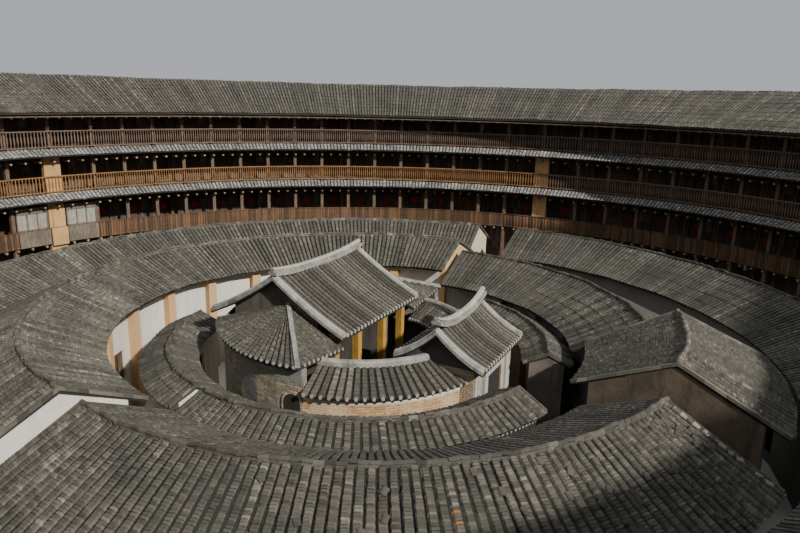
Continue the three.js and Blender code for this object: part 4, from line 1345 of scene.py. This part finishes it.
class ROUNDHOUSE_OT_outer_openings(bpy.types.Operator):
    """Build the window frames and gateways of the outer wall"""
    bl_idname = "round_house.outer_openings"
    bl_label = "Outer openings"

    def execute(self, context):
        window = framed_opening(0.61, 0.71, (0, -0.3, 0.07), 0.16, 0.07, 3)
        places = []
        for storey, first in ((2, 0), (3, 1)):
            for bay in range(first, len(BAYS), 2):
                azimuth = CENTRES[bay]
                foot = (0, side_radius(WINDOW_RADIUS, azimuth), FLOORS[storey] + WINDOW_SILL)
                places.append(turned(azimuth) @ Matrix.Translation(foot))
        finished(copies(window, places), "outer_window_frames", FINISHES["dark timber"])
        stones, doors = [], []
        for bay, (width, height) in GATES.items():
            foot = (0, side_radius(GATE_RADIUS, CENTRES[bay]), GATE_SILL)
            place = turned(CENTRES[bay]) @ Matrix.Translation(foot)
            stones.append(placed(self.surround(width, height - GATE_SILL), place))
            doors.extend(placed(leaf, place) for leaf in self.leaves(width - 0.6, height - 0.5))
        finished(joined(stones, "stones"), "gate_surrounds", FINISHES["cut stone"])
        finished(joined(doors, "doors"), "gate_doors", FINISHES["dark timber"])
        return {"FINISHED"}

    def surround(self, width, height):
        """Cut stone posts and lintel of a gate."""
        return joined([
            block((0.3, 0.5, height), (-width / 2 + 0.14, -0.1, height / 2), 0.02),
            block((0.3, 0.5, height), (width / 2 - 0.14, -0.1, height / 2), 0.02),
            block((width - 0.58, 0.5, 0.3), (0, -0.1, height - 0.16), 0.02),
        ], "surround")

    def leaves(self, width, height):
        """Two thick gate leaves that stand open into the gateway."""
        pieces = []
        for side in (-1, 1):
            leaf = block((width / 2, 0.09, height), (-side * width / 4, 0, height / 2), 0.015)
            turn = Matrix.Rotation(radians(-side * 82), 4, "Z")
            pieces.append(placed(leaf, Matrix.Translation((side * width / 2, -0.5, 0.01)) @ turn))
        return pieces


class ROUNDHOUSE_OT_ring_openings(bpy.types.Operator):
    """Build the door and window frames of the inner rings"""
    bl_idname = "round_house.ring_openings"
    bl_label = "Ring openings"

    def execute(self, context):
        frames, leaves = [], []
        for name, part in RING_PARTS.items():
            centre, first, last = part[:3]
            wall_in, wall_out, bay_angle = part[7:]
            if name == "second_ring_near":
                continue
            count = math.floor((last - first) / bay_angle)
            start = (first + last - (count - 1) * bay_angle) / 2
            for bay in range(count):
                place = turned(start + bay * bay_angle, centre)
                front = place @ Matrix.Translation((0, wall_in + 0.12, 0))
                back = place @ Matrix.Translation((0, wall_out - 0.2, 0))
                if bay % 2:
                    frames.append(placed(framed_opening(1.14, 1.14, (0, 0, 1.58), 0.14, 0.07, 5), front))
                else:
                    frames.append(placed(framed_opening(0.84, 1.9, (0, 0, 0.15), 0.16), front))
                    leaves.append(placed(self.leaf(), front))
                if name in THROUGH_PARTS:
                    frames.append(placed(framed_opening(0.84, 1.9, (0, 0, 0.15), 0.16), back))
                else:
                    frames.append(placed(framed_opening(0.66, 0.66, (0, 0, 1.77), 0.14, 0.07, 3), back))
        finished(joined(frames, "frames"), "ring_frames", FINISHES["post timber"])
        finished(joined(leaves, "leaves"), "ring_doors", FINISHES["dark timber"])
        return {"FINISHED"}

    def leaf(self):
        """Door leaf that stands open into the room."""
        door = block((0.8, 0.05, 1.88), (0.4, 0, 1.1), 0.01)
        return placed(door, Matrix.Translation((-0.4, 0.12, 0)) @ Matrix.Rotation(radians(70), 4, "Z"))


def sagging(start, end, sag, steps=8):
    """Points of a slope that hangs a little below the straight line from start to end."""
    start, end = Vector(start), Vector(end)
    points = []
    for index in range(steps + 1):
        share = index / steps
        points.append(start.lerp(end, share) - Vector((0, 0, 4 * sag * share * (1 - share))))
    return points


def eave_end(foot, direction, radius=0.062):
    """Pale round end of a tile column."""
    deselect()
    bpy.ops.mesh.primitive_cylinder_add(vertices=8, radius=radius, depth=0.06, rotation=(math.pi / 2, 0, 0))
    flat = Vector((direction[0], direction[1], 0))
    return placed(apply_place(bpy.context.object), along_slope(foot, Vector(foot) + flat))


class HallRoof:
    """One gabled hall roof in the hall's own axes."""
    # Width of the verges beside the outermost tile columns
    MARGIN = 0.2

    def __init__(self, name, ridge, back, front, half, sag, rise):
        self.name, self.ridge, self.half, self.rise = name, ridge, half, rise
        top = Vector((ridge[0], 0, ridge[1]))
        self.lines = [sagging((edge[0], 0, edge[1]), top, sag) for edge in (back, front)]
        self.upper = self.lines[0] + self.lines[1][-2::-1]

    def build(self, pitch, course, light):
        """Boards, tiles and lime of the roof."""
        finished_boards(to_hall(self.boards()), f"{self.name}_boards", f"{self.name}_roof")
        inner = self.half - self.MARGIN
        count = round(2 * inner / pitch)
        gap = 2 * inner / count
        cells = hall_cells(gap, self.ridge[0], -inner)
        finish = tile_finish(f"{self.name} tiles", cells, light * 1.2, 11, share=0.85, groove_shade_start=0.1)
        tiles = uneven(self.tiles(count, gap, course), 0.003, 3)
        finished(to_hall(tiles), f"{self.name}_tiles", finish)
        bands, beads = self.verges()
        *crest, cap = self.crest()
        lime = joined([*bands, *crest], "lime")
        finished(to_hall(lime), f"{self.name}_lime", FINISHES["lime"])
        ends = joined([*self.eave_ends(count, gap), *beads, cap], "ends")
        finished(to_hall(ends), f"{self.name}_eave_ends", FINISHES["lime ends"])

    def boards(self):
        """Hanging slab of boards and pan tiles."""
        top = [point - Vector((0, 0, SUNK)) for point in self.upper]
        low = [point - Vector((0, 0, 0.18)) for point in reversed(self.upper)]
        return swept(top + low, [(0, -self.half, 0), (0, self.half, 0)])

    def tiles(self, count, gap, course):
        """Columns of both slopes, each in three lengths that follow the hang."""
        columns = []
        for line in self.lines:
            low = [point - Vector((0, 0, SUNK)) for point in line]
            parts = [tile_column(low[first], low[last], gap * 0.8, 0.06, course)
                     for first, last in ((0, 3), (3, 6), (6, 8))]
            shift = Matrix.Translation((0, -self.half + self.MARGIN + gap / 2, 0))
            column = placed(joined(parts, "column"), shift)
            columns.append(row(column, count, (0, gap, 0)))
        return joined(columns, "tiles")

    def eave_ends(self, count, gap):
        """Pale round ends of the columns at both eaves."""
        ends = []
        for line in self.lines:
            foot = line[0] + Vector((0, -self.half + self.MARGIN + gap / 2, -0.03))
            ends.append(row(eave_end(foot, line[-1] - line[0], gap * 0.3), count, (0, gap, 0)))
        return ends

    def verges(self):
        """Lime bands up both gables, and the pale bead on each."""
        band = [(0, -0.14, -0.12), (0, 0.14, -0.12), (0, 0.14, 0.0),
                (0, 0.08, 0.06), (0, -0.08, 0.06), (0, -0.14, 0.0)]
        bead = [(0, -0.06, 0.05), (0, 0.06, 0.05), (0, 0.04, 0.11), (0, -0.04, 0.11)]
        shifts = [Vector((0, side * (self.half - 0.12), 0)) for side in (-1, 1)]
        paths = [[point + shift for point in self.upper] for shift in shifts]
        return [[swept(outline, path) for path in paths] for outline in (band, bead)]

    def crest(self):
        """Lime ridge in two steps that rises to both ends."""
        path = []
        for index in range(21):
            across = (index / 10 - 1) * (self.half + 0.02)
            lift = self.rise * abs(across / self.half) ** 2.5
            path.append(Vector((self.ridge[0], across, self.ridge[1] + lift)))
        foot = [(-0.17, 0, -0.14), (0.17, 0, -0.14), (0.17, 0, -0.02), (-0.17, 0, -0.02)]
        neck = [(-0.06, 0, -0.02), (0.06, 0, -0.02), (0.06, 0, 0.07), (-0.06, 0, 0.07)]
        cap = [(-0.1, 0, 0.07), (0.1, 0, 0.07), (0.06, 0, 0.14), (-0.06, 0, 0.14)]
        return [swept(outline, path) for outline in (foot, neck, cap)]


class ROUNDHOUSE_OT_hall_roofs(bpy.types.Operator):
    """Build the gabled roofs of the main hall and the gate hall"""
    bl_idname = "round_house.hall_roofs"
    bl_label = "Hall roofs"

    def execute(self, context):
        roof = settings()[0]
        main = HallRoof("main_hall", (-1.97, 6.65), (-4.95, 4.97), (0.96, 4.97), 2.93, 0.1, 0.2)
        gate = HallRoof("gate_hall", (4.06, 5.5), (2.5, 4.42), (5.75, 4.42), 2.1, 0.12, 0.36)
        for hall in (main, gate):
            hall.build(roof.pitch, roof.fine_course, roof.lightness)
        return {"FINISHED"}


class ROUNDHOUSE_OT_hall_side_roofs(bpy.types.Operator):
    """Build the half-cone roofs beside the main hall and the curved wing roofs"""
    bl_idname = "round_house.hall_side_roofs"
    bl_label = "Hall side roofs"

    def execute(self, context):
        roof = settings()[0]
        dress(FINISHES["pan tiles"], "aisle_roof")
        for name, sign in HALL_SIDES.items():
            self.aisle(name, sign, roof)
            self.wing(name, sign, roof)
        return {"FINISHED"}

    def aisle(self, name, sign, roof):
        """Fan of tile columns from the gable wall down to the round wall."""
        apex = Vector((-1.5, sign * 2.66, 5.6))
        corner = Vector((0.86, sign * 2.66, 4.45))
        rim, rim_height, first, last = 5.42, 4.7, 81.0, 147.0
        columns, trim = [], []
        count = round(2 * math.pi * rim * (last - first) / FULL_TURN / 0.25)
        for index in range(count):
            turn = radians(first + (index + 0.5) * (last - first) / count)
            foot = Vector((rim * math.cos(turn), sign * rim * math.sin(turn), rim_height))
            length = (apex - foot).length
            column = tile_column((0, 0, 0), (0, length, 0), 0.2, 0.05, roof.fine_course)
            for vertex in column.data.vertices:
                vertex.co.x *= max(0.12, 1 - vertex.co.y / length)
            columns.append(placed(column, along_slope(foot, apex)))
            trim.append(eave_end(foot, apex - foot))
        hip = Vector((rim * math.cos(radians(first)), sign * rim * math.sin(radians(first)), rim_height))
        count = round(abs(hip.y - corner.y) / 0.24)
        for index in range(count - 1):
            share = (index + 0.5) / count
            foot, top = corner.lerp(hip, share), apex.lerp(hip, share)
            columns.append(tile_column(foot, top, 0.2, 0.05, roof.fine_course))
            trim.append(eave_end(foot, top - foot))
        centre = hall_place() @ apex * SCALE
        cells = fan_cells((centre.x, centre.y), count=130)
        finish = tile_finish(f"aisle {name} tiles", cells, roof.lightness, 21)
        tiles = uneven(joined(columns, "tiles"), 0.003, 5)
        finished(to_hall(tiles), f"aisle_{name}_tiles", finish)
        side = (hip - apex).cross(Vector((0, 0, 1))).normalized()
        corners = ((-0.1, -0.04), (0.1, -0.04), (0.07, 0.08), (-0.07, 0.08))
        outline = [side * across + Vector((0, 0, up)) for across, up in corners]
        trim.append(swept(outline, [apex + Vector((0, 0, 0.03)), hip + Vector((0, 0, 0.03))]))
        finished(to_hall(joined(trim, "trim")), f"aisle_{name}_lime", FINISHES["lime"])

    def wing(self, name, sign, roof):
        """Curved wing roof, cut off beside the gate hall."""
        first, last = sorted((HALL_AXIS - sign * 19, HALL_AXIS - sign * 80))
        ridge, eaves = (4.05, 4.4), ((3.0, 3.88), (5.45, 3.88))
        columns = round(2 * math.pi * ridge[0] * (last - first) / FULL_TURN / 0.21)
        step = (last - first) / columns
        slopes, ends = [], []
        for side, edge in zip((-1, 1), eaves):
            eave, top = slope_line((edge[0] + side * 0.04, edge[1]), ridge)
            slopes.append(round_tiles(first, last, eave, top, columns, roof.fine_course, 7))
            end = placed(eave_end((0, eave[0], eave[1] + 0.02), (0, 1, 0)), turned(first + step / 2))
            ends.append(round_row(end, columns, step))
        outline = [(3.93, 4.32), (4.17, 4.32), (4.17, 4.48), (4.11, 4.55), (3.99, 4.55), (3.93, 4.48)]
        cap = spun(outline, first, last)
        slab = self.cut(roof_slab(first, last, ridge, eaves, 0.14, 0.0), sign, True)
        tiles = self.cut(joined(slopes, "tiles"), sign, False)
        lime = self.cut(joined([cap, *ends], "lime"), sign, True)
        cells = round_cells(HALL_CENTRE, first, step, ridge[0])
        finish = tile_finish(f"wing {name} tiles", cells, roof.lightness, 31, share=0.75)
        finished_boards(slab, f"wing_{name}_boards", f"wing_roof_{name}")
        finished(tiles, f"wing_{name}_tiles", finish)
        finished(lime, f"wing_{name}_lime", FINISHES["lime"])

    def cut(self, piece, sign, fill):
        """Takes a round piece to the hall and cuts off what reaches in beside the gate hall."""
        placed(piece, Matrix.Translation((HALL_CENTRE, 0, 0)))
        across = hall_place().to_3x3() @ Vector((0, sign, 0))
        pick_all(piece)
        cut_place = across * WING_CUT + Vector((HALL_CENTRE, 0, 0))
        bpy.ops.mesh.bisect(plane_co=cut_place, plane_no=across, use_fill=fill, clear_inner=True)
        bpy.ops.object.mode_set(mode="OBJECT")
        return piece


def arch(width, height, depth):
    """Arched panel with its foot on the X axis and its depth along Y."""
    half = width / 2
    outline = [(-half, 0, 0), (half, 0, 0)]
    for turn in range(0, 181, 20):
        x, z = half * math.cos(radians(turn)), half * math.sin(radians(turn))
        outline.append((x, 0, height - half + z))
    return swept(outline, [(0, 0, 0), (0, depth, 0)])


class ROUNDHOUSE_OT_hall_openings(bpy.types.Operator):
    """Build the arches of the round wall and the doorway of the gate hall"""
    bl_idname = "round_house.hall_openings"
    bl_label = "Hall openings"

    def execute(self, context):
        places = [turned(HALL_AXIS - sign * ARCH_TURN, HALL_CENTRE) @ Matrix.Translation(ARCH_PLACE)
                  for sign in HALL_SIDES.values()]
        # Painted shade: near-black arched panels on the round wall, where arched openings lie in shade
        panels = copies(arch(0.6, 1.23, 0.085), places)
        finished(panels, "hall_arches", FINISHES["pan tiles"])
        borders = copies(arch(0.78, 1.32, 0.07), places)
        finished(borders, "hall_arch_borders", FINISHES["tan brick"])
        forward = Matrix.Translation((GATE_HALL_FRONT, 0, 0)) @ Matrix.Rotation(radians(-90), 4, "Z")
        front = hall_place() @ forward
        stones = [block((0.26, 0.16, 3.7), (side * 0.83, 0.05, 1.85), 0.02) for side in (-1, 1)]
        stones += [block((0.4, 0.12, 4.0), (side * 1.58, 0.03, 2.0), 0.02) for side in (-1, 1)]
        stones.append(block((1.88, 0.16, 0.18), (0, 0.05, 3.79), 0.02))
        stones = placed(joined(stones, "stones"), front)
        finished(stones, "gate_hall_posts", FINISHES["lime ends"])
        boards = block((1.4, 0.05, 1.1), (0, 0.015, 3.15))
        finished(placed(boards, front), "gate_hall_door_head", FINISHES["pan tiles"])
        jambs = [block((0.12, 0.1, 3.66), (side * 0.64, 0.05, 1.87), 0.01) for side in (-1, 1)]
        jambs.append(block((1.16, 0.1, 0.1), (0, 0.05, 2.6), 0.01))
        jambs = placed(joined(jambs, "jambs"), front)
        finished(jambs, "gate_hall_door_frame", FINISHES["post timber"])
        return {"FINISHED"}


class ROUNDHOUSE_OT_stage(bpy.types.Operator):
    """Set the floor, the light and the camera"""
    bl_idname = "round_house.stage"
    bl_label = "Stage"

    def execute(self, context):
        stage = settings()[3]
        deselect()
        bpy.ops.mesh.primitive_circle_add(vertices=96, radius=90, fill_type="NGON", location=(0, 0, -0.002))
        floor = context.object
        floor.name = "floor"
        finish = Finish("floor")
        finish.shader.inputs["Base Color"].default_value = (*stage.floor, 1)
        finish.shader.inputs["Roughness"].default_value = 0.9
        floor.data.materials.append(finish.material)

        world = bpy.data.worlds.new("studio")
        world.use_nodes = True
        light = world.node_tree.nodes["Background"]
        light.inputs["Color"].default_value = (0.9, 0.94, 1.0, 1)
        light.inputs["Strength"].default_value = stage.fill
        context.scene.world = world
        bpy.ops.object.light_add(type="SUN")
        key = context.object
        key.data.energy = stage.key
        key.data.angle = radians(SUN_ANGLE)
        key.data.color = (1.0, 0.96, 0.91)
        towards = polar(1.0, SUN_AZIMUTH, SUN_SLOPE)
        key.rotation_euler = towards.to_track_quat("Z", "Y").to_euler()
        self.camera(context)
        return {"FINISHED"}

    def camera(self, context):
        """Camera at the near side's eave, looking down over the rings."""
        pitch, yaw, roll = radians(CAMERA_PITCH), radians(CAMERA_YAW), radians(CAMERA_ROLL)
        ahead = Vector((math.sin(yaw) * math.cos(pitch), math.cos(yaw) * math.cos(pitch), -math.sin(pitch)))
        level = Vector((math.cos(yaw), -math.sin(yaw), 0))
        up = level.cross(ahead)
        right = level * math.cos(roll) + up * math.sin(roll)
        above = up * math.cos(roll) - level * math.sin(roll)
        bpy.ops.object.camera_add()
        camera = context.object
        turn = Matrix((right, above, -ahead)).transposed().to_4x4()
        camera.matrix_world = Matrix.Translation(CAMERA_PLACE) @ turn
        camera.data.sensor_width = CAMERA_SENSOR
        camera.data.lens = CAMERA_LENS
        camera.data.clip_start = 0.05
        camera.data.clip_end = 500
        context.scene.camera = camera


GROUPS = (RoofSettings, GallerySettings, WallSettings, StageSettings)
PROPERTIES = ("round_house_roof", "round_house_gallery", "round_house_wall", "round_house_stage")
OPERATORS = (
    ROUNDHOUSE_OT_stage, ROUNDHOUSE_OT_finishes, ROUNDHOUSE_OT_main_roof, ROUNDHOUSE_OT_ring_roofs,
    ROUNDHOUSE_OT_pent_roofs, ROUNDHOUSE_OT_railings, ROUNDHOUSE_OT_parapet, ROUNDHOUSE_OT_shutters,
    ROUNDHOUSE_OT_gallery_timber, ROUNDHOUSE_OT_room_fronts, ROUNDHOUSE_OT_outer_openings,
    ROUNDHOUSE_OT_ring_openings, ROUNDHOUSE_OT_hall_roofs, ROUNDHOUSE_OT_hall_side_roofs,
    ROUNDHOUSE_OT_hall_openings,
)


class ROUNDHOUSE_PT_panel(bpy.types.Panel):
    """Settings and steps of the round house"""
    bl_idname = "ROUNDHOUSE_PT_panel"
    bl_label = "Round House"
    bl_space_type = "VIEW_3D"
    bl_region_type = "UI"
    bl_category = "Round House"

    def draw(self, context):
        for group, name in zip(GROUPS, PROPERTIES):
            box = self.layout.box()
            for field in group.__annotations__:
                box.prop(getattr(context.scene, name), field)
        for operator in OPERATORS:
            self.layout.operator(operator.bl_idname)


def register():
    """Registers all classes and ties the settings to the scene."""
    for group, name in zip(GROUPS, PROPERTIES):
        bpy.utils.register_class(group)
        setattr(bpy.types.Scene, name, PointerProperty(type=group))
    for kind in (*OPERATORS, ROUNDHOUSE_PT_panel):
        bpy.utils.register_class(kind)


def unregister():
    """Takes everything back that register has done."""
    for kind in (ROUNDHOUSE_PT_panel, *reversed(OPERATORS)):
        bpy.utils.unregister_class(kind)
    for group, name in zip(GROUPS, PROPERTIES):
        delattr(bpy.types.Scene, name)
        bpy.utils.unregister_class(group)


def main():
    """Builds the house step by step."""
    register()
    for operator in OPERATORS:
        group, name = operator.bl_idname.split(".")
        getattr(getattr(bpy.ops, group), name)()
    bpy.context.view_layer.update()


if __name__ == "__main__":
    main()
